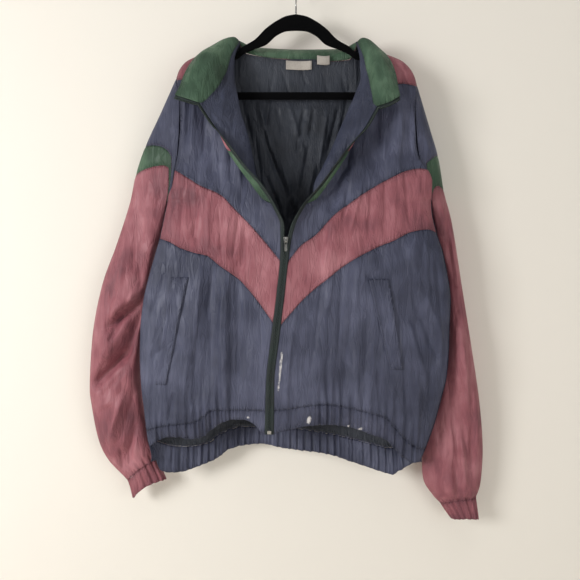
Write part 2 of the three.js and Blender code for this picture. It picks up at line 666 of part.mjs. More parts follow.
function makeFronts(side) {
  frontPanel(`front_yoke_${side}`, side, "top", "yoke", 8, "burgundy", { ease: 2 });
  const stripeShares = frontShares.filter((share) => share <= stripeShare);
  frontPanel(`front_stripe_${side}`, side, "yoke", "stripe", 4, "green", { shares: stripeShares });
  frontPanel(`front_upper_${side}`, side, "stripe", "bandTop", 9, "navy");
  frontPanel(`front_band_${side}`, side, "bandTop", "bandBottom", 5, "burgundy");
  frontPanel(`front_lower_${side}`, side, "bandBottom", "hemSeam", 10, "navy");
}

const hemColumns = 41;
function makeHemFront(side) {
  const topAt = straightBetween(frontShares, (share) => frontSeams.hemSeam(side, share));
  const outerAt = (u, v) => {
    const share = trimmed(u);
    return frontShell(side, share, mix(topAt(share) - 5 * seamGap, frontSeams.hemEdge(side, share), v));
  };
  add(`hem_band_${side}`, clothGeometry(outerAt, hemColumns, 3, { flip: side === "right", thickness: 2 }), "navy");
}

const backPlaces = [
  -1, -0.97, -0.92, -0.84, -0.72, -0.6, -0.44, -0.36, -0.24, -0.12, 0, 0.12, 0.24, 0.36, 0.44, 0.6, 0.72, 0.84, 0.92, 0.97, 1,
];
function backPanel(name, topSeam, bottomSeam, columns, rows, look, { ease = 1, thickness = wall } = {}) {
  const topAt = straightBetween(backPlaces, backSeams[topSeam]);
  const bottomAt = straightBetween(backPlaces, backSeams[bottomSeam]);
  const outerAt = (u, v) => {
    const across = columns === hemColumns ? mix(-1, 1, u) : shareAt(backPlaces, u);
    const gap = columns === hemColumns ? 4 * seamGap : seamGap;
    return backShell(across, mix(topAt(across) - gap, bottomAt(across) + seamGap, v ** ease));
  };
  add(name, clothGeometry(outerAt, columns, rows, { thickness }), look);
}

// The lining lies close to the back at the shoulders, behind the hanger, and hangs freely below
const liningInset = { top: 2.8, hung: 10 };
function liningShell(across, z) {
  const fall = backSeams.top(across) - z;
  const point = backShell(across, z);
  const waves = gather(point.x, z, hemSeam.back.z(point.x));
  const hanging = smoothStep(fall, 22, 120);
  point.y += (foldDepth(backFolds, point.x, z) + waves) * hanging;
  point.y -= mix(liningInset.top, liningInset.hung, hanging);
  return point;
}
function makeLining() {
  const outerAt = (u, v) => {
    const across = shareAt(backPlaces.slice(3, -3), u);
    const top = backSeams.top(across);
    const start = top - mix(5, 20, smoothStep(top, -150, -142));
    return liningShell(across, mix(start, backSeams.hemSeam(across) + 4, v ** 1.4));
  };
  add("lining_back", clothGeometry(outerAt, 15, 11), "lining");
}

function sleevePanel(name, side, from, to, rows, look, options = {}) {
  const { columns = 21, start = 0, near = 0.2, thickness = wall, foldedGap = 0.12 } = options;
  const outerAt = (u, v) => {
    const angle = u * 2 * Math.PI;
    const inward = (1 - Math.cos(angle)) / 2;
    const gap = mix(seamGap / 100, foldedGap, inward ** 2);
    const free = start * mix(near, 1, smoothStep(inward, 0, 0.6));
    const top = sleeveSeam(side, from, inward) + free + gap;
    return sleeveShell(side, angle, mix(top, sleeveSeam(side, to, inward) - gap, v));
  };
  add(name, clothGeometry(outerAt, columns, rows, { closed: true, flip: side === "left", thickness }), look);
}

function makeSleeve(side) {
  const upper = { start: 0.2, near: 0.012, foldedGap: 0.12 };
  sleevePanel(`sleeve_upper_${side}`, side, "armhole", "stripeTop", 5, "navy", upper);
  sleevePanel(`sleeve_stripe_${side}`, side, "stripeTop", "stripeBottom", 3, "green", { foldedGap: 0.08 });
  sleevePanel(`sleeve_lower_${side}`, side, "stripeBottom", "cuff", 13, "burgundy", { foldedGap: 0.08 });
  const cuff = { start: 0.1, columns: 43, thickness: 2 };
  sleevePanel(`cuff_${side}`, side, "cuff", "end", 3, "burgundy", cuff);
}

// The collar stands round the neck and falls open: rows run from the left zip end to the right one
const collarRows = table("place foldX foldY foldZ topX topY topZ", [
  [0, -191, -71, -256, -216, -66, -247],
  [0.07, -184, -70, -238, -208, -62, -231],
  [0.16, -172, -60, -205, -201, -50, -204],
  [0.23, -158, -46, -170, -188, -32, -172],
  [0.28, -142, -24, -144, -172, -16, -151],
  [0.32, -121, -4, -120, -152, 4, -134],
  [0.36, -108, 8, -122, -128, 24, -126],
  [0.43, -68, 22, -134, -74, 38, -124],
  [0.5, 4, 22, -138, 4, 42, -126],
  [0.57, 72, 22, -138, 76, 40, -126],
  [0.64, 116, 8, -124, 132, 24, -128],
  [0.68, 130, -4, -122, 150, 4, -137],
  [0.72, 138, -18, -142, 165, -12, -153],
  [0.78, 147, -40, -176, 176, -28, -178],
  [0.86, 152, -56, -212, 181, -44, -206],
  [0.94, 158, -68, -242, 183, -56, -232],
  [1, 163, -72, -262, 185, -62, -248],
]);
const sideNeckPlace = 0.32;
function neckLine(place) {
  if (place < sideNeckPlace) {
    const share = (rollShare * place) / sideNeckPlace;
    return frontShell("left", share, neckTop("left", share));
  }
  if (place > 1 - sideNeckPlace) {
    const share = (rollShare * (1 - place)) / sideNeckPlace;
    return frontShell("right", share, neckTop("right", share));
  }
  const t = (place - sideNeckPlace) / (1 - 2 * sideNeckPlace);
  const x = mix(neckPoint.left, neckPoint.right, t);
  return new THREE.Vector3(x, backNeck.y(x), backNeck.z(x));
}
const collarThickness = 2.4;
function collarShell(place, height) {
  const neck = neckLine(place);
  const fold = new THREE.Vector3(collarRows.foldX(place), collarRows.foldY(place), collarRows.foldZ(place));
  const top = new THREE.Vector3(collarRows.topX(place), collarRows.topY(place), collarRows.topZ(place));
  const up = fold.clone().sub(neck).normalize();
  neck.addScaledVector(up, 2);
  neck.z += 7 * smoothStep(0.5 - Math.abs(place - 0.5), 0.16, 0.27) * smoothStep(Math.abs(place - 0.5), 0.08, 0.14);
  const control = fold.clone().multiplyScalar(2).addScaledVector(neck, -0.5).addScaledVector(top, -0.5);
  const a = neck.multiplyScalar((1 - height) ** 2);
  return a.addScaledVector(control, 2 * height * (1 - height)).addScaledVector(top, height * height);
}
function makeCollar() {
  const geometry = clothGeometry(collarShell, 37, 5, { thickness: collarThickness, flip: true });
  add("collar", geometry, "green");
}

// The facing lies on the inside of each front, so on the turned-out lapel it is what shows
const facingShares = [0.004, 0.03, 0.07, 0.12, 0.17, 0.2, 0.22, 0.235, 0.25];
const facingBottomZ = -398;
function makeFacing(side) {
  const outerAt = (u, v) => {
    const curled = 0.115 * smoothStep(v, 0.1, 0.42);
    const share = mix(curled, rollShare + 0.03, shareAt(facingShares, u) / (rollShare + 0.03));
    const top = frontTop(side, share) - 3;
    return frontShell(side, share, mix(top, facingBottomZ, v ** 1.4));
  };
  const options = { flip: side === "right", offset: -(wall + 2.4 * layerGap), thickness: 1 };
  add(`facing_${side}`, clothGeometry(outerAt, facingShares.length, 14, options), "navy");
}

// The zip tape runs up the front edge and on along the collar's end, standing out past both
const collarTapeShare = 0.2;
function tapeFrame(side, along) {
  const place = side === "left" ? 0 : 1;
  const inward = side === "left" ? 0.03 : 0.97;
  if (along > 1 - collarTapeShare) {
    const height = (along - 1 + collarTapeShare) / collarTapeShare;
    const edge = collarShell(place, height);
    return { edge, out: edge.clone().sub(collarShell(inward, height)).normalize(), width: tapeWidth };
  }
  const topZ = frontTop(side, 0);
  const z = mix(zipBottomZ, topZ, along / (1 - collarTapeShare));
  const edge = frontShell(side, 0, z);
  const free = edge.clone().sub(frontShell(side, 0.02, z)).normalize();
  const straight = new THREE.Vector3(side === "left" ? 1 : -1, 0, 0);
  const between = Math.abs(frontEdge.right.zipX(z) - frontEdge.left.zipX(z)) / 2 - seamGap;
  const out = straight.lerp(free, smoothStep(z, sliderZ, sliderZ + 50)).normalize();
  const nearCollar = smoothStep(z, topZ - 30, topZ);
  const collarEdge = collarShell(place, 0);
  const collarOut = collarEdge.clone().sub(collarShell(inward, 0)).normalize();
  edge.lerp(collarEdge, nearCollar);
  return { edge, out: out.lerp(collarOut, nearCollar).normalize(), width: Math.min(tapeWidth, between) };
}
function tapePoint(side, across, along) {
  const frame = tapeFrame(side, along);
  return frame.edge.addScaledVector(frame.out, mix(3 * seamGap, frame.width, across));
}
function makeTape(side) {
  const outerAt = (u, v) => tapePoint(side, u, v * 0.996);
  const options = { flip: side === "right", thickness: tapeThickness, offset: -0.2 };
  add(`zip_tape_${side}`, clothGeometry(outerAt, 2, 32, options), "tape");
}
function makeTopStop(side) {
  const outerAt = (u, v) => tapePoint(side, mix(0.35, 0.95, u), mix(0.975, 0.99, v));
  const options = { flip: side === "right", thickness: 1.6, offset: 1.7 };
  add(`zip_top_stop_${side}`, clothGeometry(outerAt, 2, 2, options), "metal");
}

const zipMiddle = (z) => (frontEdge.left.zipX(z) + frontEdge.right.zipX(z)) / 2;
function makeChain() {
  const outerAt = (u, v) => {
    const z = mix(sliderZ - 7, zipBottomZ + 8, v);
    return new THREE.Vector3(zipMiddle(z) + mix(-0.5, 0.5, u) * chainWidth, frontEdge.left.zipY(z), z);
  };
  const options = { flip: true, thickness: chainThickness, offset: chainThickness + 0.5 };
  add("zip_chain", clothGeometry(outerAt, 2, 14, options), "tape");
  const stop = (u, v) => {
    const z = mix(zipBottomZ + 7, zipBottomZ + 1, v);
    return new THREE.Vector3(zipMiddle(z) + mix(-0.5, 0.5, u) * (chainWidth + 2), frontEdge.left.zipY(z), z);
  };
  add("zip_bottom_stop", clothGeometry(stop, 2, 3, { flip: true, thickness: 2.2, offset: 2.8 }), "metal");
}

// The slider is a plate with an arch; the tab's bar turns under the arch
const pivotY = -70.1;
function plate(outline, thickness) {
  const shape = new THREE.Shape(outline.map(([x, y]) => new THREE.Vector2(x, y)));
  return new THREE.ExtrudeGeometry(shape, { depth: thickness, bevelEnabled: false });
}
function makeSlider() {
  const { width, height, depth: plateDepth } = sliderSize;
  const front = pivotY + 2;
  const back = front + plateDepth - 2;
  const top = sliderZ + height / 2;
  const bottom = sliderZ - height / 2;
  // The side view: plate and arch in one outline, as wide as the arch, with the plate's wings beside it
  const archWidth = 1.6;
  const profile = new THREE.Shape();
  profile.moveTo(back, bottom);
  profile.lineTo(back, top);
  profile.lineTo(front, top);
  profile.lineTo(front - 3.4, top - 1.4);
  profile.lineTo(front - 4.6, top - 3.2);
  profile.lineTo(front - 4.6, bottom + 3);
  profile.lineTo(front - 3.4, bottom + 1.2);
  profile.lineTo(front, bottom);
  const eye = new THREE.Path();
  eye.moveTo(front - 0.8, bottom + 2.4);
  eye.lineTo(front - 3.2, bottom + 2.8);
  eye.lineTo(front - 3.2, top - 3.4);
  eye.lineTo(front - 0.8, top - 2.6);
  profile.holes.push(eye);
  const arch = new THREE.ExtrudeGeometry(profile, { depth: archWidth, bevelEnabled: false });
  const wings = new THREE.ExtrudeGeometry(
    new THREE.Shape([
      new THREE.Vector2(-width / 2, top - 1), new THREE.Vector2(-width / 2 + 1.5, bottom),
      new THREE.Vector2(width / 2 - 1.5, bottom), new THREE.Vector2(width / 2, top - 1),
      new THREE.Vector2(width / 2 - 2, top), new THREE.Vector2(-width / 2 + 2, top),
    ]),
    { depth: back - front, bevelEnabled: false },
  );
  const x = zipMiddle(sliderZ);
  arch.applyMatrix4(new THREE.Matrix4().set(0, 0, 1, x - archWidth / 2, 1, 0, 0, 0, 0, 1, 0, 0, 0, 0, 0, 1));
  wings.applyMatrix4(new THREE.Matrix4().set(1, 0, 0, x, 0, 0, -1, back, 0, 1, 0, 0, 0, 0, 0, 1));
  add("zip_slider", joined(arch, wings), "metal");
}
function makeTab() {
  const { width, length, thickness } = tabSize;
  const barZ0 = sliderZ - 1.6;
  const half = width / 2;
  const shape = new THREE.Shape();
  shape.moveTo(-half + 1, -length);
  shape.absarc(0, -length + half, half, Math.PI * 1.15, Math.PI * 1.85, false);
  shape.lineTo(half, -length + half + 1);
  shape.lineTo(half - 0.6, thickness / 2);
  shape.lineTo(-half + 0.6, thickness / 2);
  shape.lineTo(-half, -length + half + 1);
  const hole = new THREE.Path();
  hole.moveTo(-1.3, -thickness / 2);
  hole.lineTo(1.3, -thickness / 2);
  hole.lineTo(1.3, -6.4);
  hole.lineTo(-1.3, -6.4);
  shape.holes.push(hole);
  const geometry = new THREE.ExtrudeGeometry(shape, { depth: thickness, bevelEnabled: false, curveSegments: 6 });
  geometry.translate(0, 0, -thickness / 2);
  const turn = new THREE.Matrix4().set(1, 0, 0, zipMiddle(sliderZ), 0, 0, -1, pivotY, 0, 1, 0, barZ0, 0, 0, 0, 1);
  add("zip_pull_tab", geometry.applyMatrix4(turn), "metal");
}

// Pocket welts are slanted strips laid on the fronts, from their top corners to their bottom ones
const pockets = {
  left: { top: [-225, -194, -571], bottom: [-256, -236, -766] },
  right: { top: [129, 166, -574], bottom: [169, 193, -738] },
};
// A point of a front panel as it is built, straight between its columns
function frontAt(side, x, z) {
  const rollX = frontEdge[side].rollX(z);
  const share = mix(rollShare, 1, (x - rollX) / (sideLine[side].x(z) - rollX));
  const k = frontShares.findIndex((column) => column > share);
  const [before, after] = [frontShares[k - 1], frontShares[k]];
  const point = frontShell(side, before, z);
  return point.lerp(frontShell(side, after, z), (share - before) / (after - before));
}
function makePocket(side) {
  const { top, bottom } = pockets[side];
  const outerAt = (u, v) => {
    const x = mix(mix(top[0], top[1], u), mix(bottom[0], bottom[1], u), v);
    return frontAt(side, x, mix(top[2], bottom[2], v));
  };
  add(`pocket_welt_${side}`, clothGeometry(outerAt, 5, 12, { flip: true, offset: wall + 1.2 }), "navy");
}

// Blank labels hang from the neck seam in front of the lining
const labels = {
  label_main: { x: [-19, 30], z: [-159, -175] },
  label_care: { x: [40, 64], z: [-150, -167] },
};
function makeLabel(name) {
  const { x, z } = labels[name];
  const outerAt = (u, v) => {
    const height = mix(z[0], z[1], v);
    const reach = (backX(1, height) - backX(-1, height)) / 2;
    const point = liningShell((mix(x[0], x[1], u) - backX(0, height)) / reach, height);
    point.y -= wall + 0.6 + 0.8 * Math.sin(Math.PI * v);
    return point;
  };
  add(name, clothGeometry(outerAt, 3, 4, { thickness: 1 }), "label");
}

// The hanger is a flat frame: arms under the shoulders and a bar between their tips
const armTable = table("x top bottom", [
  [0, -74, -105], [17, -77, -106], [36, -86, -114], [57, -101, -132], [78, -122, -140], [100, -135, -150],
  [112, -145, -159], [124, -147, -161], [134, -148, -163], [162, -154, -169], [190, -162, -180],
  [205, -172, -192.4], [212, -182, -192.4],
]);
const clothClearance = 3.9;
function makeHanger() {
  const steps = 34;
  const reach = 212;
  const top = [];
  const bottom = [];
  for (let k = 0; k <= steps; k += 1) {
    const x = mix(-reach, reach, k / steps);
    const side = x < 0 ? "left" : "right";
    const under = shoulderLine[side].z(x) - clothClearance;
    const own = armTable.top(Math.abs(x));
    top.push([x, Math.min(own, Math.abs(x) > 96 ? under : own)]);
    bottom.push([x, armTable.bottom(Math.abs(x))]);
  }
  const arms = plate([...bottom, ...top.reverse()], hangerThickness);
  upright(arms, hangerThickness);
  add("hanger_arms", arms, "velvet");
  const tip = 192.7;
  const outer = 29;
  const inner = outer - barHeight;
  const bendX = reach - outer;
  const bendZ = barZ - barHeight / 2 + outer;
  const bend = (sign, radius) => {
    const points = [];
    for (let k = 0; k <= 5; k += 1) {
      const angle = (k / 5) * (Math.PI / 2);
      points.push([sign * (bendX + radius * Math.cos(angle)), bendZ - radius * Math.sin(angle)]);
    }
    return points;
  };
  const outline = [
    [-reach, -tip], ...bend(-1, outer), ...bend(1, outer).reverse(), [reach, -tip],
    [bendX + inner, -tip], ...bend(1, inner), ...bend(-1, inner).reverse(), [-bendX - inner, -tip],
  ];
  const bar = plate(outline, hangerThickness);
  upright(bar, hangerThickness);
  add("hanger_bar", bar, "velvet");
}
function upright(geometry, thickness) {
  geometry.rotateX(Math.PI / 2).translate(0, thickness / 2, 0);
}

// The hook lies across the hanger's plane and opens towards the wall
function makeHook() {
  const radius = hookRadius + hookWire / 2;
  const points = [new THREE.Vector3(0, 0, -73.7), new THREE.Vector3(0, 0, -58)];
  points.push(new THREE.Vector3(0, -8, -48));
  for (let k = 0; k <= 14; k += 1) {
    const angle = Math.PI * mix(1.08, -0.22, k / 14);
    points.push(new THREE.Vector3(0, radius * Math.cos(angle), -hookRadius + radius * Math.sin(angle)));
  }
  const section = new THREE.Shape();
  section.absarc(0, 0, hookWire / 2, 0, 2 * Math.PI, false);
  const extrudePath = new THREE.CatmullRomCurve3(points);
  const wire = new THREE.ExtrudeGeometry(section, { steps: 26, extrudePath, curveSegments: 4, bevelEnabled: false });
  add("hanger_hook", wire, "metal");
}

jacket.name = "windbreaker_on_hanger";
for (const side of ["left", "right"]) {
  makeFronts(side);
  makeHemFront(side);
  makeSleeve(side);
  makeFacing(side);
  makeTape(side);
  makeTopStop(side);
  makePocket(side);
}
backPanel("back_yoke", "top", "yoke", backPlaces.length, 7, "burgundy", { ease: 2 });
backPanel("back_panel", "yoke", "hemSeam", backPlaces.length, 9, "navy");
backPanel("hem_band_back", "hemSeam", "hemEdge", hemColumns, 3, "navy", { thickness: 2 });
makeLining();
makeCollar();
makeChain();
makeSlider();
makeTab();
Object.keys(labels).forEach(makeLabel);
makeHanger();
makeHook();

export default jacket;
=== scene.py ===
"""A zip-front windbreaker of thin crinkled nylon, hung half open on a flat clothes hanger.

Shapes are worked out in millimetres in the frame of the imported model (+Z up, the front faces -Y,
the origin is the inside of the hook's crown) and put into their meshes in metres.
"""

from __future__ import annotations

import logging
from dataclasses import dataclass
from enum import Enum
from typing import Sequence

import bpy
import numpy as np
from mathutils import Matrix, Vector


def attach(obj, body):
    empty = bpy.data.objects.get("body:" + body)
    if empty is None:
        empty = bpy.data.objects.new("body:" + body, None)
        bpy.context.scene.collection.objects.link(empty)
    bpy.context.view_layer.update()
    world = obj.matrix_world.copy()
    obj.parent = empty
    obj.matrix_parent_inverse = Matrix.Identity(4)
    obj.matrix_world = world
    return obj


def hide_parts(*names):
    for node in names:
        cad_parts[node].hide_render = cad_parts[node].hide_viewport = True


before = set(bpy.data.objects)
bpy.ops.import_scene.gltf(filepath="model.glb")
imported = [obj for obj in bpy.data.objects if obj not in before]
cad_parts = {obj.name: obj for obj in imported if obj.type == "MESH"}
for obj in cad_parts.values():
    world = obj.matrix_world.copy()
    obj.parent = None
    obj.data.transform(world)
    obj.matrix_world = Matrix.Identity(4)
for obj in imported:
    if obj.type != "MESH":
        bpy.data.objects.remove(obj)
log = logging.getLogger("windbreaker")

Array = np.ndarray
MM = 0.001
BODY = "jacket"


class Side(Enum):
    """The jacket's two sides as the viewer sees them."""

    LEFT = "left"
    RIGHT = "right"

    @property
    def sign(self) -> int:
        """-1 on the viewer's left and 1 on the right."""
        return -1 if self is Side.LEFT else 1


def mix(a: Array | float, b: Array | float, t: Array | float) -> Array:
    """A value that goes straight from a at t = 0 to b at t = 1."""
    return a + (b - a) * t


def smooth_step(x: Array | float, low: float, high: float) -> Array:
    """0 below low, 1 above high and a smooth S between them."""
    t = np.clip((x - low) / (high - low), 0, 1)
    return t * t * (3 - 2 * t)


class Table:
    """Rows with named columns. The first column is looked up, and the others follow a smooth curve
    between their rows that never runs past them."""

    def __init__(self, columns: str, rows: Sequence[Sequence[float]]) -> None:
        """Keeps the rows in rising order of the first column."""
        data = np.array(sorted(rows, key=lambda row: row[0]), dtype=float)
        self.keys = data[:, 0]
        self.columns = {name: data[:, k] for k, name in enumerate(columns.split())}

    def read(self, name: str, at: Array | float) -> Array:
        """The column's value at each place.

        Args:
            name: the column.
            at: places along the first column, held to its ends.

        Returns:
            Cubic Hermite values whose slopes are harmonic means of the neighbouring ones.
        """
        keys, values = self.keys, self.columns[name]
        x = np.clip(np.asarray(at, dtype=float), keys[0], keys[-1])
        i = np.clip(np.searchsorted(keys, x) - 1, 0, len(keys) - 2)
        slopes = np.diff(values) / np.diff(keys)
        a, b = slopes[:-1], slopes[1:]
        safe = np.where(a * b > 0, a + b, 1)
        tangents = np.concatenate([slopes[:1], np.where(a * b > 0, 2 * a * b / safe, 0), slopes[-1:]])
        step = keys[i + 1] - keys[i]
        t = (x - keys[i]) / step
        t2, t3 = t * t, t * t * t
        start = (2 * t3 - 3 * t2 + 1) * values[i] + (t3 - 2 * t2 + t) * step * tangents[i]
        return start + (3 * t2 - 2 * t3) * values[i + 1] + (t3 - t2) * step * tangents[i + 1]


class Creases:
    """Soft troughs (depth above 0) and ridges (below 0) from one end to the other in front view."""

    def __init__(self, rows: Sequence[Sequence[float]]) -> None:
        """Each row is x0, z0, x1, z1, width, depth in millimetres."""
        self.rows = np.array(rows, dtype=float)

    def depth(self, x: Array, z: Array) -> Array:
        """The sum of all creases: a bell across each one, fading at both of its ends.

        Args:
            x: places across, in millimetres.
            z: heights, in millimetres.

        Returns:
            The depth at each place, in millimetres.
        """
        total = np.zeros(np.broadcast(x, z).shape)
        for x0, z0, x1, z1, width, depth in self.rows:
            dx, dz = x1 - x0, z1 - z0
            length = np.hypot(dx, dz)
            along = ((x - x0) * dx + (z - z0) * dz) / length**2
            across = ((x - x0) * dz - (z - z0) * dx) / length
            ends = smooth_step(along, -0.15, 0.25) * (1 - smooth_step(along, 0.75, 1.15))
            total = total + depth * ends * np.exp(-np.abs(across / width) ** 1.5)
        return total


class Crinkle:
    """Small irregular waves of washed nylon: smooth noise on a lattice of seeded values."""

    def __init__(self, seed: int) -> None:
        """Fills the lattice with values from -1 to 1."""
        self.lattice = np.random.default_rng(seed).uniform(-1, 1, (64, 64))

    def at(self, u: Array, v: Array) -> Array:
        """The lattice's values joined by smooth steps.

        Args:
            u: places across, in lattice steps.
            v: places along, in lattice steps.

        Returns:
            Values from -1 to 1.
        """
        i, j = np.floor(u).astype(int), np.floor(v).astype(int)
        s, t = smooth_step(u - i, 0, 1), smooth_step(v - j, 0, 1)
        g = self.lattice
        low = mix(g[i % 64, j % 64], g[(i + 1) % 64, j % 64], s)
        high = mix(g[i % 64, (j + 1) % 64], g[(i + 1) % 64, (j + 1) % 64], s)
        return mix(low, high, t)

    def waves(self, x: Array, z: Array, across: float = 11, along: float = 38, lean: float = 0.1) -> Array:
        """Long narrow ripples with a finer set between them.

        Args:
            x: places across, in millimetres.
            z: heights, in millimetres.
            across: the ripples' width in millimetres.
            along: the ripples' length in millimetres.
            lean: how far the ripples slant, in millimetres across for each one along.

        Returns:
            Heights of about -1 to 1.
        """
        u = (x + lean * z) / across
        v = (z - lean * x) / along
        drift = self.at(v * 0.7 + 9, u * 0.3)
        coarse = self.at(u + 0.8 * drift, v)
        fine = self.at(2.3 * u + 17 + 0.6 * drift, 2 * v + 5)
        return 0.65 * coarse + 0.35 * fine


# Walls, gaps and shares of the front's cloth, the same as in the solids
WALL = 0.5
SEAM = 0.3
CURL, LAPEL, ROLL, CHEST = 0.05, 0.13, 0.22, 0.3
UNDERARM_Z = -430
ARMHOLE_DEPTH = 28

EDGE = {
    Side.LEFT: Table("z zipX zipY curlX curlY rollX rollY", [
        (-127, -224, -51, -212, -47, -108, -3),
        (-165, -214, -55, -203, -52, -117, -19),
        (-200, -201, -60, -189, -56, -116, -28),
        (-235, -186, -65, -174, -61, -110, -37),
        (-270, -166, -70, -156, -66, -103, -44),
        (-305, -144, -75, -139, -71, -92, -49),
        (-340, -121, -76, -126, -69, -83, -52),
        (-375, -95, -76, -104, -67, -76, -54),
        (-410, -64, -75, -77, -65, -70, -55),
        (-445, -42, -71, -52, -62, -63, -56),
        (-480, -28, -67, -37, -62, -56, -56),
        (-520, -28, -63, -40, -61, -59, -58),
        (-600, -35, -62, -48, -60, -67, -59),
        (-680, -45, -60, -58, -58, -77, -57),
        (-760, -54, -54, -67, -53, -87, -52),
        (-860, -57, -44, -69, -43, -90, -42),
    ]),
    Side.RIGHT: Table("z zipX zipY curlX curlY rollX rollY", [
        (-127, 222, -51, 207, -47, 116, -3),
        (-165, 210, -55, 195, -52, 121, -19),
        (-200, 191, -59, 178, -56, 121, -28),
        (-235, 170, -63, 159, -60, 110, -37),
        (-270, 142, -70, 133, -66, 95, -44),
        (-305, 122, -75, 114, -71, 80, -49),
        (-340, 96, -76, 98, -69, 65, -52),
        (-375, 71, -76, 77, -67, 48, -54),
        (-410, 45, -75, 53, -65, 33, -55),
        (-445, 15, -71, 27, -62, 32, -56),
        (-480, -3, -67, 7, -61, 24, -56),
        (-520, -12, -63, 0, -61, 19, -58),
        (-600, -21, -62, -8, -60, 11, -59),
        (-680, -31, -60, -18, -58, 2, -57),
        (-760, -40, -54, -27, -53, -7, -52),
        (-860, -41, -44, -29, -43, -9, -42),
    ]),
}
SIDE_LINE = {
    Side.LEFT: Table("z x", [
        (-194, -225), (-220, -219), (-250, -214), (-286, -213), (-336, -216), (-372, -223), (-404, -229),
        (-422, -237), (-459, -243), (-501, -252), (-538, -263), (-574, -273), (-613, -282), (-668, -288),
        (-718, -289), (-768, -287), (-813, -282), (-863, -276), (-900, -268),
    ]),
    Side.RIGHT: Table("z x", [
        (-206, 227), (-262, 219), (-319, 220), (-346, 224), (-364, 234), (-379, 246), (-395, 251), (-450, 251),
        (-490, 259), (-520, 269), (-561, 278), (-596, 284), (-613, 285), (-665, 283), (-705, 282), (-754, 278),
        (-796, 268), (-841, 256), (-872, 245), (-905, 232),
    ]),
}
SHOULDER_LINE = {
    Side.LEFT: Table("x z", [
        (-108, -127), (-134, -139), (-162, -147), (-190, -155), (-208, -165), (-219, -179), (-225, -194),
    ]),
    Side.RIGHT: Table("x z", [
        (116, -128), (134, -138), (158, -146), (175, -152), (198, -162), (210, -172), (220, -187), (227, -206),
    ]),
}
NECK_POINT = {Side.LEFT: -108, Side.RIGHT: 116}
SHOULDER_Z = {Side.LEFT: -194, Side.RIGHT: -206}
DEPTH = Table("z front back", [
    (-127, 8, 8), (-165, 15, 13), (-200, 25, 18), (-260, 37, 23), (-330, 45, 26), (-420, 53, 29), (-500, 58, 31),
    (-600, 60, 31), (-700, 57, 30), (-800, 50, 28), (-950, 40, 24),
])
NECK_SEAM = Table("share z", [(0, -262), (0.05, -256), (0.13, -230), (0.18, -196), (0.22, -127)])
BACK_NECK = Table("x z y", [
    (-108, -127, 2), (-100, -142, 9), (-63, -150, 12), (-19, -154, 14), (27, -154, 14), (69, -158, 14),
    (101, -156, 10), (112, -142, 6), (116, -128, 2),
])
YOKE_SEAM = Table("share z", [
    (0, -350), (0.05, -345), (0.22, -315), (0.3, -290), (0.45, -250), (0.64, -217), (0.8, -207), (1, -203),
])
STRIPE_SEAM = Table("share z", [
    (0, -442), (0.05, -432), (0.13, -400), (0.22, -360), (0.3, -318), (0.45, -264), (0.64, -220), (0.75, -210),
    (0.8, -207), (1, -203),
])
STRIPE_SHARE = 0.64
YOKE_DROP = {Side.LEFT: 0, Side.RIGHT: 12}
BAND_TOP = {
    Side.LEFT: Table("x z", [
        (-221, -375), (-196, -391), (-174, -405), (-137, -422), (-112, -447), (-72, -489), (-27, -544),
    ]),
    Side.RIGHT: Table("x z", [
        (250, -374), (229, -372), (202, -377), (174, -390), (151, -402), (96, -438), (66, -461), (35, -495),
        (8, -515), (-15, -544),
    ]),
}
BAND_BOTTOM = {
    Side.LEFT: Table("x z", [
        (-256, -498), (-230, -507), (-210, -518), (-184, -527), (-160, -533), (-140, -549), (-108, -571),
        (-81, -599), (-41, -654),
    ]),
    Side.RIGHT: Table("x z", [
        (264, -492), (241, -484), (209, -489), (174, -506), (151, -515), (96, -544), (60, -571), (17, -607),
        (-27, -656),
    ]),
}
HEM_SEAM = {
    Side.LEFT: Table("x z", [
        (-276, -854), (-250, -845), (-229, -841), (-206, -838), (-184, -834), (-167, -823), (-151, -813),
        (-96, -812), (-57, -813),
    ]),
    Side.RIGHT: Table("x z", [
        (-46, -813), (-11, -810), (19, -805), (54, -802), (103, -810), (141, -820), (162, -827), (179, -845),
        (192, -860), (210, -877), (230, -888),
    ]),
}
HEM_EDGE = {
    Side.LEFT: Table("x z", [
        (-268, -881), (-255, -872), (-232, -864), (-215, -864), (-196, -868), (-173, -864), (-151, -847),
        (-135, -836), (-117, -830), (-95, -830), (-77, -838), (-64, -852), (-51, -855),
    ]),
    Side.RIGHT: Table("x z", [
        (-39, -855), (-17, -849), (-2, -847), (32, -842), (63, -841), (96, -845), (116, -851), (136, -859),
        (164, -869), (180, -886), (192, -900), (215, -912), (227, -911),
    ]),
}
BACK_HEM_SEAM = Table("x z", [
    (-268, -874), (-236, -888), (-201, -892), (-167, -886), (-146, -870), (-101, -857), (-21, -859), (58, -870),
    (102, -878), (144, -888), (177, -894), (228, -888),
])
BACK_HEM_EDGE = Table("x z", [
    (-262, -913), (-255, -932), (-239, -938), (-216, -938), (-193, -932), (-166, -922), (-149, -914), (-128, -899),
    (-94, -891), (-67, -889), (-27, -897), (10, -902), (58, -908), (109, -923), (136, -931), (166, -940),
    (182, -943), (196, -934), (215, -922), (227, -914),
])
SIDE_LEAN = Table("z y", [
    (-194, 0), (-312, -4), (-400, -10), (-430, -16), (-475, -26), (-560, -24), (-900, -20),
])

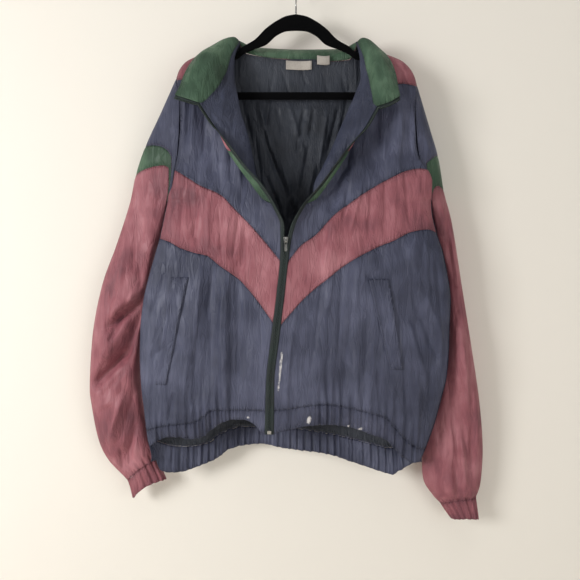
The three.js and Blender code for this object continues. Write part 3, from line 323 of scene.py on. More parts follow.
# The largest folds are those of the solids, and the creases after them are the cloth's own
FRONT_FOLDS = Creases([
    (-148, -570, -163, -790, 15, 9), (-106, -560, -104, -775, 12, 8), (-126, -540, -132, -800, 14, -6),
    (-88, -480, -98, -560, 11, 6), (-207, -690, -250, -750, 16, 4), (-185, -230, -196, -350, 12, -7),
    (-158, -300, -150, -400, 13, 6), (-192, -420, -178, -520, 14, 6), (92, -340, 60, -460, 13, 8),
    (54, -470, 8, -640, 14, 8), (78, -430, 56, -560, 12, -5), (6, -640, -12, -760, 11, 7),
    (150, -230, 132, -380, 15, 6), (190, -240, 176, -390, 14, -6), (194, -620, 240, -710, 16, 5),
    (212, -500, 214, -600, 16, -6), (100, -620, 84, -780, 15, 7),
])
FRONT_CREASES = Creases([
    (-201, -205, -212, -355, 5, -3.0), (-193, -215, -199, -330, 5, 2.2), (-168, -262, -170, -352, 6, 2.0),
    (-118, -305, -120, -400, 5, 2.4), (-106, -330, -100, -415, 5, -2.0), (-142, -330, -137, -425, 4, 1.4),
    (-178, -330, -181, -402, 4, 1.2), (101, -305, 92, -378, 4, 3.2), (90, -372, 52, -430, 5, 3.0),
    (150, -260, 150, -345, 6, 1.6), (196, -255, 190, -340, 5, -1.8), (172, -300, 160, -380, 4, 1.4),
    (128, -300, 118, -372, 4, -1.4), (208, -280, 212, -350, 5, 1.8),
    (-176, -415, -185, -498, 4, 2.0), (-160, -430, -158, -520, 4, -1.6), (-140, -440, -134, -535, 4, 2.2),
    (-103, -458, -115, -545, 4, 2.6), (-122, -455, -128, -552, 4, -1.8), (-205, -405, -210, -490, 4, 1.6),
    (-84, -490, -96, -585, 4, -2.0), (-70, -515, -78, -606, 4, 1.8), (-226, -412, -236, -480, 4, -1.4),
    (95, -405, 83, -470, 4, 2.6), (120, -400, 97, -490, 4, -2.2), (138, -395, 128, -505, 4, 2.0),
    (163, -385, 157, -500, 5, 2.0), (196, -388, 205, -470, 4, 1.8), (48, -455, 30, -540, 4, 2.6),
    (66, -455, 48, -560, 4, -2.0), (30, -500, 12, -580, 4, 2.0), (222, -385, 226, -470, 4, -1.6),
    (180, -395, 176, -490, 4, -1.4), (14, -530, 2, -610, 3, -1.8),
    (-150, -548, -160, -640, 5, 2.6), (-132, -575, -138, -700, 5, -2.4), (-118, -600, -118, -790, 5, 2.2),
    (-170, -560, -182, -680, 5, -2.2), (-192, -560, -206, -640, 5, 1.8), (-210, -530, -222, -610, 5, -1.6),
    (-180, -690, -188, -800, 6, 2.4), (-160, -700, -158, -810, 5, -2.2), (-140, -700, -142, -815, 5, 2.2),
    (-78, -640, -80, -800, 4, 2.4), (-94, -600, -92, -740, 4, -1.8), (-66, -680, -70, -810, 3, -1.6),
    (-236, -560, -262, -640, 5, 2.0), (-250, -640, -272, -730, 5, -1.8), (-222, -780, -236, -838, 5, 2.2),
    (-200, -740, -206, -835, 5, -1.8), (-258, -745, -266, -835, 5, 1.6), (-240, -700, -262, -715, 6, 2.4),
    (16, -560, 6, -680, 4, 3.2), (30, -590, 14, -730, 5, -2.6), (48, -570, 24, -760, 5, 2.8),
    (66, -560, 54, -640, 5, -2.0), (-2, -650, -16, -790, 4, -2.2), (24, -690, 18, -800, 4, 2.0),
    (84, -545, 76, -700, 5, 2.2), (112, -545, 104, -640, 5, -2.0), (60, -680, 52, -800, 5, 2.4),
    (128, -620, 122, -800, 6, 2.0), (112, -700, 108, -805, 5, -2.2), (150, -740, 150, -815, 5, 2.2),
    (90, -730, 92, -800, 4, 1.8), (206, -540, 214, -620, 6, 2.2), (234, -500, 240, -600, 5, -2.0),
    (255, -540, 262, -640, 5, 2.0), (216, -620, 258, -720, 6, 3.2), (232, -600, 272, -690, 5, -2.6),
    (200, -640, 236, -760, 6, -2.4), (196, -760, 206, -850, 5, 2.4), (222, -760, 222, -860, 5, -2.2),
    (244, -720, 244, -830, 5, 2.2), (262, -640, 266, -740, 5, -1.8), (176, -760, 172, -830, 5, -2.0),
    (146, -560, 128, -575, 8, 2.0), (-40, -700, -48, -810, 3, 1.2),
])
LAPEL_CREASES = Creases([
    (-128, -150, -150, -215, 6, 2.6), (-140, -140, -172, -190, 6, -2.2), (-118, -190, -140, -250, 5, 2.4),
    (-128, -230, -136, -300, 5, -2.0), (-152, -225, -128, -262, 5, 2.0), (-112, -270, -118, -330, 4, 2.0),
    (-150, -280, -116, -318, 4, -2.0), (-102, -320, -100, -380, 4, 2.2), (-126, -300, -98, -352, 4, 1.8),
    (-90, -370, -84, -420, 3, -1.6), (132, -170, 160, -230, 6, 2.2), (150, -160, 172, -215, 6, -2.0),
    (124, -220, 142, -270, 5, 2.2), (120, -262, 100, -330, 5, -2.2), (136, -250, 128, -300, 4, 1.8),
    (104, -290, 84, -360, 4, 2.4), (112, -320, 92, -372, 4, -1.6), (80, -340, 60, -400, 4, 2.0),
])
BACK_FOLDS = Creases([
    (-120, -300, -150, -560, 20, 5), (-40, -260, -30, -520, 18, -4), (60, -330, 84, -620, 20, 5),
    (150, -320, 130, -600, 18, -4), (-200, -560, -180, -800, 18, 5), (180, -640, 200, -820, 18, 4),
])
BACK_CREASES = Creases([
    (-190, -230, -176, -290, 7, 2.0), (-140, -190, -120, -270, 8, 1.6), (-60, -200, -50, -280, 8, -1.6),
    (30, -190, 40, -285, 8, 1.8), (110, -200, 96, -290, 7, -1.8), (176, -220, 186, -300, 7, 2.0),
    (-208, -330, -190, -450, 6, -2.6), (-170, -340, -184, -480, 6, 2.6), (-136, -420, -150, -610, 6, -2.4),
    (-100, -340, -112, -470, 6, 2.2), (-84, -520, -70, -700, 7, 2.8), (-56, -380, -62, -560, 6, -2.0),
    (-20, -560, -34, -780, 7, 2.6), (-4, -340, 6, -470, 6, 2.0), (24, -480, 16, -640, 6, -2.4),
    (50, -640, 58, -800, 7, 2.6), (88, -360, 76, -500, 6, -2.0), (116, -460, 128, -650, 6, 2.6),
    (150, -640, 140, -800, 6, -2.4), (176, -380, 168, -520, 6, 2.4), (206, -400, 214, -560, 6, -2.2),
    (222, -600, 214, -760, 6, 2.6), (246, -560, 250, -720, 6, -2.0), (-216, -520, -228, -680, 6, 2.6),
    (-248, -600, -252, -760, 6, -2.2), (-160, -700, -170, -850, 6, 2.4), (-120, -740, -112, -840, 6, -2.0),
    (96, -720, 100, -850, 6, 2.2), (196, -780, 192, -870, 6, 2.2), (-210, -760, -204, -860, 6, 2.0),
    (0, -300, 60, -420, 9, 1.8), (-30, -620, 20, -720, 9, -1.8), (-236, -460, -200, -560, 8, 2.4),
    (238, -470, 204, -570, 8, 2.2),
])
LINING_CREASES = Creases([
    (-86, -165, -70, -215, 3, 3.2), (-42, -172, -60, -300, 4, 3.6), (-60, -300, -36, -372, 4, 3.2),
    (-72, -236, -46, -330, 4, -3.0), (-78, -300, -66, -390, 3, 3.0), (-96, -255, -78, -345, 4, 3.0),
    (-24, -180, -10, -230, 3, 3.0), (6, -160, 22, -205, 3, 3.2), (16, -250, 2, -330, 4, 3.4),
    (-14, -236, 14, -330, 4, -2.6), (34, -250, 26, -300, 3, 3.2), (52, -180, 66, -240, 4, 2.6),
    (88, -185, 98, -235, 3, 3.0), (82, -245, 60, -335, 4, 3.0), (60, -250, 44, -360, 4, -2.6),
    (-50, -330, -16, -420, 4, 3.4), (-28, -352, 2, -440, 4, -2.8), (-60, -372, -30, -440, 3, 3.0),
    (-4, -380, -14, -470, 4, 3.2), (24, -320, 8, -410, 4, 3.0), (36, -350, 16, -452, 4, -2.8),
    (-44, -410, -22, -470, 3, 2.8), (4, -430, -18, -500, 3, 2.8), (-92, -330, -60, -420, 4, 2.6),
    (-36, -246, -26, -296, 3, 2.6), (-108, -200, -92, -300, 5, 3.0), (104, -200, 84, -300, 5, 3.0),
    (-20, -540, -30, -700, 8, 4.0), (60, -560, 40, -760, 9, -4.0), (-110, -520, -120, -720, 9, 4.0),
    (120, -520, 128, -740, 9, 4.0), (-60, -620, -50, -820, 8, -4.0), (160, -460, 140, -640, 8, -3.6),
    (-170, -440, -160, -640, 8, 3.6),
])
COLLAR_CREASES = Creases([
    (-150, -135, -178, -220, 6, 2.2), (-168, -150, -196, -225, 5, -2.2), (-140, -165, -165, -235, 5, 2.0),
    (-186, -160, -205, -232, 5, 2.0), (-128, -135, -150, -190, 6, -2.0), (-190, -215, -170, -245, 5, 2.0),
    (140, -140, 158, -235, 6, 2.2), (152, -150, 176, -230, 5, -2.0), (130, -160, 146, -230, 5, 2.2),
    (168, -170, 182, -238, 5, 2.0), (-70, -130, -60, -150, 5, 1.6), (-20, -128, -8, -152, 5, -1.4),
    (40, -128, 52, -154, 5, 1.6), (84, -128, 92, -152, 5, -1.4),
])


def rise(drop: Array) -> Array:
    """How far the cloth has left the hanger at a drop below the shoulder seam: a quarter circle."""
    return np.sqrt(1 - (1 - np.clip(drop / 14, 0, 1)) ** 2)


def gather(x: Array, z: Array, seam_z: Array) -> Array:
    """The hem's gathers: uneven waves about 15 mm apart that die out 70 mm above the seam."""
    reach = np.where(z < seam_z, 1, 1 - smooth_step(z - seam_z, 0, 70))
    phase = x / 15 + 0.3 * np.sin(x / 37) + 0.18 * np.sin(x / 13 + 1)
    band = np.where(z < seam_z, 1.0, np.exp(-np.abs(z - seam_z) / 9))
    fine = 0.55 * band * np.cos(2 * np.pi * x / 7.4 + 1.7 * np.sin(x / 23) + np.sin(x / 9))
    return (1.8 + 0.6 * np.sin(x / 29)) * (reach * np.cos(2 * np.pi * phase) + fine)


def below_arm(z: Array) -> Array:
    """0 above the armhole's lower end and 1 where front and back close into one tube."""
    return smooth_step(-z, 345, 400)


def arm_at(side: Side, z: Array, drop: Array) -> tuple[Array, Array]:
    """The armhole's front and back depth, an oval from the shoulder point to the underarm.

    Args:
        side: which armhole.
        z: heights, in millimetres.
        drop: the distance below the shoulder seam, which rules near it.

    Returns:
        The front and the back place along Y, in millimetres.
    """
    top = SHOULDER_Z[side]
    level = np.minimum(mix(top - drop, z, smooth_step(drop, 20, 120)), top)
    half = (top - UNDERARM_Z) / 2
    across = np.sqrt(np.maximum(0, 1 - ((level - (top + UNDERARM_Z) / 2) / half) ** 2))
    lean = SIDE_LEAN.read("y", level)
    return lean - ARMHOLE_DEPTH * across, lean + ARMHOLE_DEPTH * across


def normals_of(points: Array) -> Array:
    """Unit normals of a grid of points: rows step crossed with column step."""
    along_rows, along_columns = np.gradient(points, axis=0), np.gradient(points, axis=1)
    cross = np.cross(along_columns, along_rows)
    return cross / np.maximum(np.linalg.norm(cross, axis=-1, keepdims=True), 1e-9)


class FrontForm:
    """The outer face of one front, by share of its cloth (0 zip edge, 1 side seam) and height."""

    def __init__(self, side: Side) -> None:
        """Picks the side's tables."""
        self.side = side
        self.edge = EDGE[side]
        self.noise = Crinkle(11 if side is Side.LEFT else 12)

    def ground(self, share: Array, z: Array) -> tuple[Array, Array]:
        """The part that lies on the chest, from the roll line to the side seam.

        Args:
            share: shares of the front's cloth.
            z: heights, in millimetres.

        Returns:
            X and Y: a flattened half oval below the arm, and the armhole's edge above it.
        """
        t = (share - ROLL) / (1 - ROLL)
        x = mix(self.edge.read("rollX", z), SIDE_LINE[self.side].read("x", z), t)
        drop = SHOULDER_LINE[self.side].read("z", x) - z
        lift = rise(drop)
        chest = -(SEAM + (DEPTH.read("front", z) - SEAM) * lift)
        arm = np.minimum(arm_at(self.side, z, drop)[0], -SEAM / 2) - SEAM
        turned = np.maximum(0, 1 - np.maximum(t, 0) ** 2.6) ** (1 / 2.6)
        seam = HEM_SEAM[self.side].read("z", x)
        inside = smooth_step(t, 0.02, 0.12) * (1 - smooth_step(t, 0.8, 0.95))
        waves = gather(x, z, seam) * smooth_step(t, 0.08, 0.2) * (1 - smooth_step(t, 0.88, 0.97))
        tuck = 10 * smooth_step(seam - z, 0, 45) * (1 - smooth_step(t, 0.85, 0.97))
        free = smooth_step(t, 0.0, 0.06) * (1 - smooth_step(t, 0.9, 0.99))
        creases = (1.5 * FRONT_CREASES.depth(x, z) + self.ripples(x, z)) * free
        y = arm + (chest - arm) * mix(1 - t**3, turned, below_arm(z))
        return x, y + (FRONT_FOLDS.depth(x, z) * inside + tuck + creases) * lift + waves

    def ripples(self, x: Array, z: Array) -> Array:
        """The cloth's soft upright waves, with fine crinkles on them, in millimetres."""
        lean = 0.14 * self.side.sign
        return 1.1 * self.noise.waves(x, z, 9, 40, lean) + 2.2 * self.noise.waves(x + 300, z, 25, 150, lean)

    def shell(self, share: Array, z: Array) -> Array:
        """Every point of the front, with the lapel folded out along the roll line.

        Args:
            share: shares of the front's cloth.
            z: heights, in millimetres.

        Returns:
            Points; the lapel is a smooth curve through the zip edge, curl, lapel and roll.
        """
        share, z = np.broadcast_arrays(np.asarray(share, float), np.asarray(z, float))
        read = self.edge.read
        zip_edge = (read("zipX", z), read("zipY", z))
        curl = (read("curlX", z), read("curlY", z))
        roll = (read("rollX", z), read("rollY", z))
        folded = np.clip((np.abs(curl[0]) - np.abs(roll[0])) / 30, 0, 1)
        lapel = (mix(roll[0], curl[0], 0.5), mix(roll[1], curl[1], 0.5) - 4 * folded)
        before = tuple(2 * a - b for a, b in zip(zip_edge, curl))
        ahead = [self.ground(np.full_like(z, s), z) for s in (CHEST, 0.4)]
        knots = np.array([-0.05, 0, CURL, LAPEL, ROLL, CHEST, 0.4])
        columns = (before, zip_edge, curl, lapel, roll, *ahead)
        near = [self.through(knots, np.stack([c[axis] for c in columns]), share) for axis in (0, 1)]
        flap = folded * smooth_step(share, 0.02, 0.07) * (1 - smooth_step(share, 0.17, 0.21))
        bumps = LAPEL_CREASES.depth(near[0], z) + 0.7 * self.noise.waves(near[0], z, 14, 30, 0.5 * self.side.sign)
        near[1] = near[1] + bumps * flap
        far = self.ground(share, z)
        x, y = (np.where(share >= CHEST, far[axis], near[axis]) for axis in (0, 1))
        return np.stack([x, y, z], axis=-1)

    @staticmethod
    def through(knots: Array, values: Array, at: Array) -> Array:
        """A smooth curve through values at uneven knots, as cubic Hermite pieces."""
        i = np.clip(np.searchsorted(knots, at) - 1, 1, len(knots) - 3)
        step = knots[i + 1] - knots[i]
        t = (at - knots[i]) / step
        take = lambda k: np.take_along_axis(values, k[None], 0)[0]
        tangent = lambda k: (take(k + 1) - take(k - 1)) / (knots[k + 1] - knots[k - 1])
        t2, t3 = t * t, t * t * t
        start = (2 * t3 - 3 * t2 + 1) * take(i) + (t3 - 2 * t2 + t) * step * tangent(i)
        return start + (3 * t2 - 2 * t3) * take(i + 1) + (t3 - t2) * step * tangent(i + 1)

    def crossing(self, line: Table, share: Array) -> Array:
        """The heights at which a seam given across the front crosses each column of the cloth."""
        z = np.broadcast_to(line.read("z", SIDE_LINE[self.side].read("x", -500)), np.shape(share)).astype(float)
        for _ in range(14):
            z = mix(z, line.read("z", self.shell(share, z)[..., 0]), 0.7)
        return z

    def neck_top(self, share: Array) -> Array:
        """The seam with the collar and, from the neck point on, the shoulder seam."""
        lower = 6 if self.side is Side.RIGHT else 0
        neck = NECK_SEAM.read("z", share) - lower * (1 - np.minimum(share, ROLL) / ROLL)
        return np.where(share <= ROLL, neck, self.crossing(SHOULDER_LINE[self.side], np.maximum(share, ROLL)))

    def top(self, share: Array) -> Array:
        """The front's own top edge, which stays below the collar's fold at the neck point."""
        return self.neck_top(share) - 7 * smooth_step(share, 0.15, 0.21) * (1 - smooth_step(share, 0.23, CHEST))

    def seam(self, name: str, share: Array) -> Array:
        """The height of a named seam at each share."""
        drop = YOKE_DROP[self.side] * smooth_step(share, 0.6, 1)
        lines = {"band_top": BAND_TOP, "band_bottom": BAND_BOTTOM, "hem_seam": HEM_SEAM, "hem_edge": HEM_EDGE}
        if name == "top":
            return self.top(share)
        if name == "yoke":
            return YOKE_SEAM.read("z", share) - drop
        if name == "stripe":
            return STRIPE_SEAM.read("z", share) - drop
        return self.crossing(lines[name][self.side], share)


class BackForm:
    """The outer face of the back, by place across (-1 left side to 1 right side) and height."""

    noise = Crinkle(21)

    def x_at(self, across: Array, z: Array) -> Array:
        """The place across in millimetres."""
        return mix(SIDE_LINE[Side.LEFT].read("x", z), SIDE_LINE[Side.RIGHT].read("x", z), (across + 1) / 2)

    def shell(self, across: Array, z: Array, plain: bool = False) -> Array:
        """Every point of the back.

        Args:
            across: places across, from -1 to 1.
            z: heights, in millimetres.
            plain: leaves the folds and gathers out, as the lining needs.

        Returns:
            Points of a flattened half oval below the arm and of the armhole's edge above it.
        """
        across, z = np.broadcast_arrays(np.asarray(across, float), np.asarray(z, float))
        x = self.x_at(across, z)
        left = x < 0
        on_neck = (x > NECK_POINT[Side.LEFT]) & (x < NECK_POINT[Side.RIGHT])
        line = np.where(left, SHOULDER_LINE[Side.LEFT].read("z", x), SHOULDER_LINE[Side.RIGHT].read("z", x))
        from_neck = np.minimum(x - NECK_POINT[Side.LEFT], NECK_POINT[Side.RIGHT] - x)
        near_neck = np.where(on_neck, smooth_step(from_neck, 0, 16), 0)
        lift = mix(rise(np.where(on_neck, BACK_NECK.read("z", x), line) - z), 1, near_neck)
        flat = SEAM + (DEPTH.read("back", z) - SEAM) * lift
        fall = np.where(on_neck, 100, line - z)
        oval = np.where(left, arm_at(Side.LEFT, z, fall)[1], arm_at(Side.RIGHT, z, fall)[1])
        arm = np.maximum(oval, np.where(below_arm(z) > 0.9, -100, SEAM / 2)) + SEAM
        t = np.abs(across)
        turned = np.maximum(0, 1 - t**2.1) ** (1 / 2.1)
        y = arm + (flat - arm) * mix(1 - t**3, turned, below_arm(z))
        if plain:
            return np.stack([x, y, z], axis=-1)
        seam = BACK_HEM_SEAM.read("z", x)
        edge = 1 - smooth_step(t, 0.85, 0.97)
        folds = BACK_FOLDS.depth(x, z) * (1 - smooth_step(t, 0.7, 0.9))
        ripples = 1.1 * self.noise.waves(x, z) + 2 * self.noise.waves(x + 300, z, 27, 150)
        creases = (1.3 * BACK_CREASES.depth(x, z) + ripples) * (1 - smooth_step(t, 0.9, 0.99))
        tuck = 6 * smooth_step(seam - z, 0, 45) * edge
        y = y - (folds + creases) * lift - gather(x, z, seam) * edge - tuck
        return np.stack([x, y, z], axis=-1)

    def cross(self, line: Table, across: Array) -> Array:
        """The heights at which a line given across the back meets each column."""
        z = np.full(np.shape(across), -880.0)
        for _ in range(14):
            z = mix(z, line.read("z", self.x_at(across, z)), 0.7)
        return z

    def seam(self, name: str, across: Array) -> Array:
        """The height of a named seam at each place across."""
        if name == "yoke":
            return -300 - 10 * np.cos(np.pi * across / 2)
        if name == "hem_seam":
            return self.cross(BACK_HEM_SEAM, across)
        if name == "hem_edge":
            return self.cross(BACK_HEM_EDGE, across)
        z = np.full(np.shape(across), -200.0)
        for _ in range(14):
            x = self.x_at(across, z)
            on_neck = (x > NECK_POINT[Side.LEFT]) & (x < NECK_POINT[Side.RIGHT])
            line = np.where(x < 0, SHOULDER_LINE[Side.LEFT].read("z", x), SHOULDER_LINE[Side.RIGHT].read("z", x))
            z = mix(z, np.where(on_neck, BACK_NECK.read("z", x), line), 0.7)
        return z

    def lining(self, across: Array, z: Array) -> Array:
        """The lining: close to the back at the shoulders, hanging 8 mm inside it below."""
        points = self.shell(across, z, plain=True)
        hanging = smooth_step(self.seam("top", across) - points[..., 2], 22, 120)
        creases = LINING_CREASES.depth(points[..., 0], points[..., 2])
        ripples = 0.9 * self.noise.waves(points[..., 0] + 40, points[..., 2], 10, 24, 0.7)
        points[..., 1] -= mix(3.2, 10, hanging) - (1.7 * creases + ripples) * mix(0.4, 1, hanging)
        return points


# Sleeve loops below the armhole: both ends of each, its depth and how far it bows up
SLEEVE_ROWS = {
    Side.LEFT: [
        (-255, -260, -245, -446, 2, 28, 16), (-286, -323, -250, -469, 8, 26, 19),
        (-305, -376, -256, -496, 12, 26, 20), (-317, -430, -268, -530, 14, 27, 20),
        (-343, -509, -279, -585, 16, 28, 20), (-369, -583, -289, -636, 15, 30, 15),
        (-387, -670, -296, -699, 17, 30, 6), (-394, -770, -297, -774, 18, 30, 0), (-391, -815, -291, -828, 20, 28, 0),
        (-378, -882, -280, -878, 22, 26, 0), (-358, -923, -271, -902, 24, 23, 4), (-323, -960, -267, -919, 24, 17, 4),
        (-313, -994, -250, -958, 24, 16, 8),
    ],
    Side.RIGHT: [
        (253, -292, 255, -440, 2, 28, 9), (269, -342, 258, -470, 7, 26, 5), (281, -408, 265, -502, 11, 26, 3),
        (297, -470, 279, -543, 14, 28, 2), (317, -596, 290, -619, 15, 30, 4), (334, -699, 286, -712, 17, 30, 0),
        (350, -801, 269, -808, 19, 30, 0), (358, -891, 246, -887, 21, 29, 0), (355, -957, 244, -953, 22, 27, 0),
        (349, -982, 261, -985, 22, 23, 0), (345, -993, 278, -1003, 22, 18, 4), (350, -1033, 299, -1033, 22, 17, 4),
    ],
}
SLEEVE_SEAMS = {Side.LEFT: (2, 3, 12, 13), Side.RIGHT: (2, 3, 11, 12)}
# Points round a sleeve, about 3 mm apart at its widest
AROUND = 128
# Both seams of the stripe climb from the sleeve's outer edge towards the armhole: to which loop, how quickly
STRIPE_CLIMB = {Side.LEFT: ((0.8, 1.9), (1.1, 1.75)), Side.RIGHT: ((0.8, 1.9), (1.1, 1.1))}
SLEEVE_FOLDS = {
    Side.LEFT: Creases([
        (-286, -622, -322, -724, 13, 34), (-318, -708, -386, -778, 11, 32), (-276, -604, -352, -664, 8, 22),
        (-276, -586, -350, -642, 11, -9), (-284, -660, -312, -780, 11, -9), (-326, -796, -356, -884, 14, -8),
        (-290, -830, -330, -930, 12, 8), (-300, -430, -290, -590, 14, 6), (-352, -676, -362, -728, 14, -8),
        (-316, -770, -300, -880, 14, 8),
    ]),
    Side.RIGHT: Creases([
        (285, -480, 310, -690, 14, 8), (300, -620, 330, -840, 15, -7), (290, -780, 315, -970, 12, 10),
        (260, -880, 300, -985, 11, -7), (326, -760, 336, -960, 12, 8), (262, -820, 282, -960, 10, 7),
        (306, -860, 322, -980, 9, -6),
    ]),
}
SLEEVE_CREASES = {
    Side.LEFT: Creases([
        (-240, -230, -262, -330, 6, 2.4), (-256, -300, -280, -350, 5, -2.0), (-300, -480, -306, -570, 5, 2.6),
        (-322, -500, -330, -590, 5, -2.4), (-296, -540, -288, -630, 5, 2.2), (-340, -560, -352, -660, 6, 2.4),
        (-310, -600, -350, -690, 6, 3.2), (-290, -660, -350, -760, 5, -3.0), (-322, -650, -380, -730, 5, 2.6),
        (-300, -720, -370, -800, 5, 2.8), (-340, -800, -384, -820, 6, -2.4), (-352, -700, -376, -770, 5, 2.2),
        (-300, -770, -330, -870, 5, 2.8), (-322, -790, -352, -880, 5, -2.6), (-345, -820, -362, -900, 5, 2.6),
        (-296, -830, -306, -910, 4, -2.6), (-310, -870, -318, -930, 4, 2.6), (-332, -890, -330, -940, 4, 2.4),
        (-284, -850, -286, -906, 4, 2.4), (-346, -900, -338, -940, 4, -2.2), (-366, -840, -372, -890, 5, 2.2),
        (-278, -590, -300, -620, 6, 2.4), (-300, -400, -308, -470, 5, -2.2), (-286, -450, -290, -520, 5, 2.2),
    ]),
    Side.RIGHT: Creases([
        (240, -250, 256, -340, 5, 2.2), (252, -300, 266, -380, 5, -2.0), (280, -430, 290, -540, 5, 2.4),
        (292, -480, 304, -600, 5, -2.2), (286, -560, 300, -660, 5, 2.6), (310, -560, 322, -700, 5, 2.4),
        (296, -660, 304, -780, 5, -2.4), (320, -700, 332, -820, 5, 2.6), (282, -720, 288, -830, 5, 2.2),
        (340, -780, 346, -900, 5, -2.4), (306, -780, 320, -900, 5, 2.8), (286, -820, 300, -930, 5, -2.4),
        (264, -840, 286, -960, 5, 2.8), (330, -860, 334, -970, 4, 2.6), (312, -880, 318, -985, 4, -2.6),
        (348, -880, 346, -975, 4, 2.2), (296, -900, 304, -990, 4, 2.8), (276, -900, 292, -980, 4, -2.4),
        (256, -870, 276, -950, 5, 2.4), (336, -920, 332, -990, 4, -2.2),
    ]),
}


class SleeveForm:
    """The outer face of one sleeve, by angle (0 outer edge, a quarter turn front) and loop number."""

    def __init__(self, side: Side) -> None:
        """Picks the side's tables."""
        self.side = side
        self.rows = np.array(SLEEVE_ROWS[side], float)
        self.seams = SLEEVE_SEAMS[side]
        self.noise = Crinkle(31 if side is Side.LEFT else 32)

    def loops(self, angle: Array) -> Array:
        """All loops at the given angles: the armhole's oval and then each row's bowed oval.

        Args:
            angle: an array of angles.

        Returns:
            Points with the loop number as the first axis.
        """
        sweep = np.sin(angle)
        top = SHOULDER_Z[self.side]
        z = mix((top + UNDERARM_Z) / 2, top, np.cos(angle))
        front, back = arm_at(self.side, z, top - z)
        head = np.stack([SIDE_LINE[self.side].read("x", z), (front + back) / 2 - ARMHOLE_DEPTH * sweep, z], -1)
        found = [head]
        for outer_x, outer_z, inner_x, inner_z, y, half, bow in self.rows:
            half_x, half_z = (outer_x - inner_x) / 2, (outer_z - inner_z) / 2
            up = -self.side.sign * bow * sweep**2 / np.hypot(half_x, half_z)
            x = (outer_x + inner_x) / 2 + half_x * np.cos(angle) + up * half_z
            z = (outer_z + inner_z) / 2 + half_z * np.cos(angle) - up * half_x
            found.append(np.stack([x, y - half * sweep, z], -1))
        return np.stack(found)

    def shell(self, angle: Array, along: Array) -> Array:
        """Every point of the sleeve, as a smooth curve down through the loops.

        Args:
            angle: angles round the sleeve.
            along: loop numbers, 0 at the armhole.

        Returns:
            Points with the large folds, the creases and the cuff's gathers.
        """
        angle, along = np.broadcast_arrays(np.asarray(angle, float), np.asarray(along, float))
        loops = self.loops(angle)
        last = len(self.rows)
        i = np.clip(np.floor(along).astype(int), 0, last - 1)
        t = (along - i)[..., None]
        take = lambda k: np.take_along_axis(loops, np.clip(k, 0, last)[None, ..., None], 0)[0]
        a, b, c, d = take(i - 1), take(i), take(i + 1), take(i + 2)
        a = np.where((i == 0)[..., None], 2 * b - c, a)
        points = 0.5 * (2 * b + (c - a) * t + (2 * a - 5 * b + 4 * c - d) * t**2 + (3 * b - a - 3 * c + d) * t**3)
        facing = np.sin(angle)
        x, z = points[..., 0], points[..., 2]
        fade = smooth_step(along, 1.5, 3.5)
        small = SLEEVE_CREASES[self.side].depth(x, z) * smooth_step(along, 0.2, 0.8)
        lean = 0.2 * self.side.sign
        ripple = 1.2 * self.noise.waves(x, z + 60 * facing, 10, 34, lean)
        ripple = ripple + 2.2 * self.noise.waves(x + 90, z - 70 * facing, 24, 80, 2 * lean)
        ripple = ripple * smooth_step(along, 0.1, 0.6)
        inward = SLEEVE_FOLDS[self.side].depth(x, z) * fade + 1.5 * small
        points[..., 1] += (inward * facing + ripple * facing) * np.abs(facing)
        near = smooth_step(along, self.seams[2] - 1.2, self.seams[2])
        wave = 1.4 * near * (np.cos(14 * angle + 0.8 * np.sin(3 * angle)) + 0.5 * np.cos(29 * angle + 1))
        points[..., 1] -= wave * facing
        points[..., 0] += self.side.sign * wave * np.cos(angle)
        return points


COLLAR_ROWS = Table("place foldX foldY foldZ topX topY topZ", [
    (0, -191, -71, -256, -216, -66, -247), (0.07, -184, -70, -238, -208, -62, -231),
    (0.16, -172, -60, -205, -201, -50, -204), (0.23, -158, -46, -170, -188, -32, -172),
    (0.28, -142, -24, -144, -172, -16, -151), (0.32, -121, -4, -120, -152, 4, -134),
    (0.36, -108, 8, -122, -128, 24, -126), (0.43, -68, 22, -134, -74, 38, -124), (0.5, 4, 22, -138, 4, 42, -126),
    (0.57, 72, 22, -138, 76, 40, -126), (0.64, 116, 8, -124, 132, 24, -128), (0.68, 130, -4, -122, 150, 4, -137),
    (0.72, 138, -18, -142, 165, -12, -153), (0.78, 147, -40, -176, 176, -28, -178),
    (0.86, 152, -56, -212, 181, -44, -206), (0.94, 158, -68, -242, 183, -56, -232),
    (1, 163, -72, -262, 185, -62, -248),
])
SIDE_NECK = 0.32


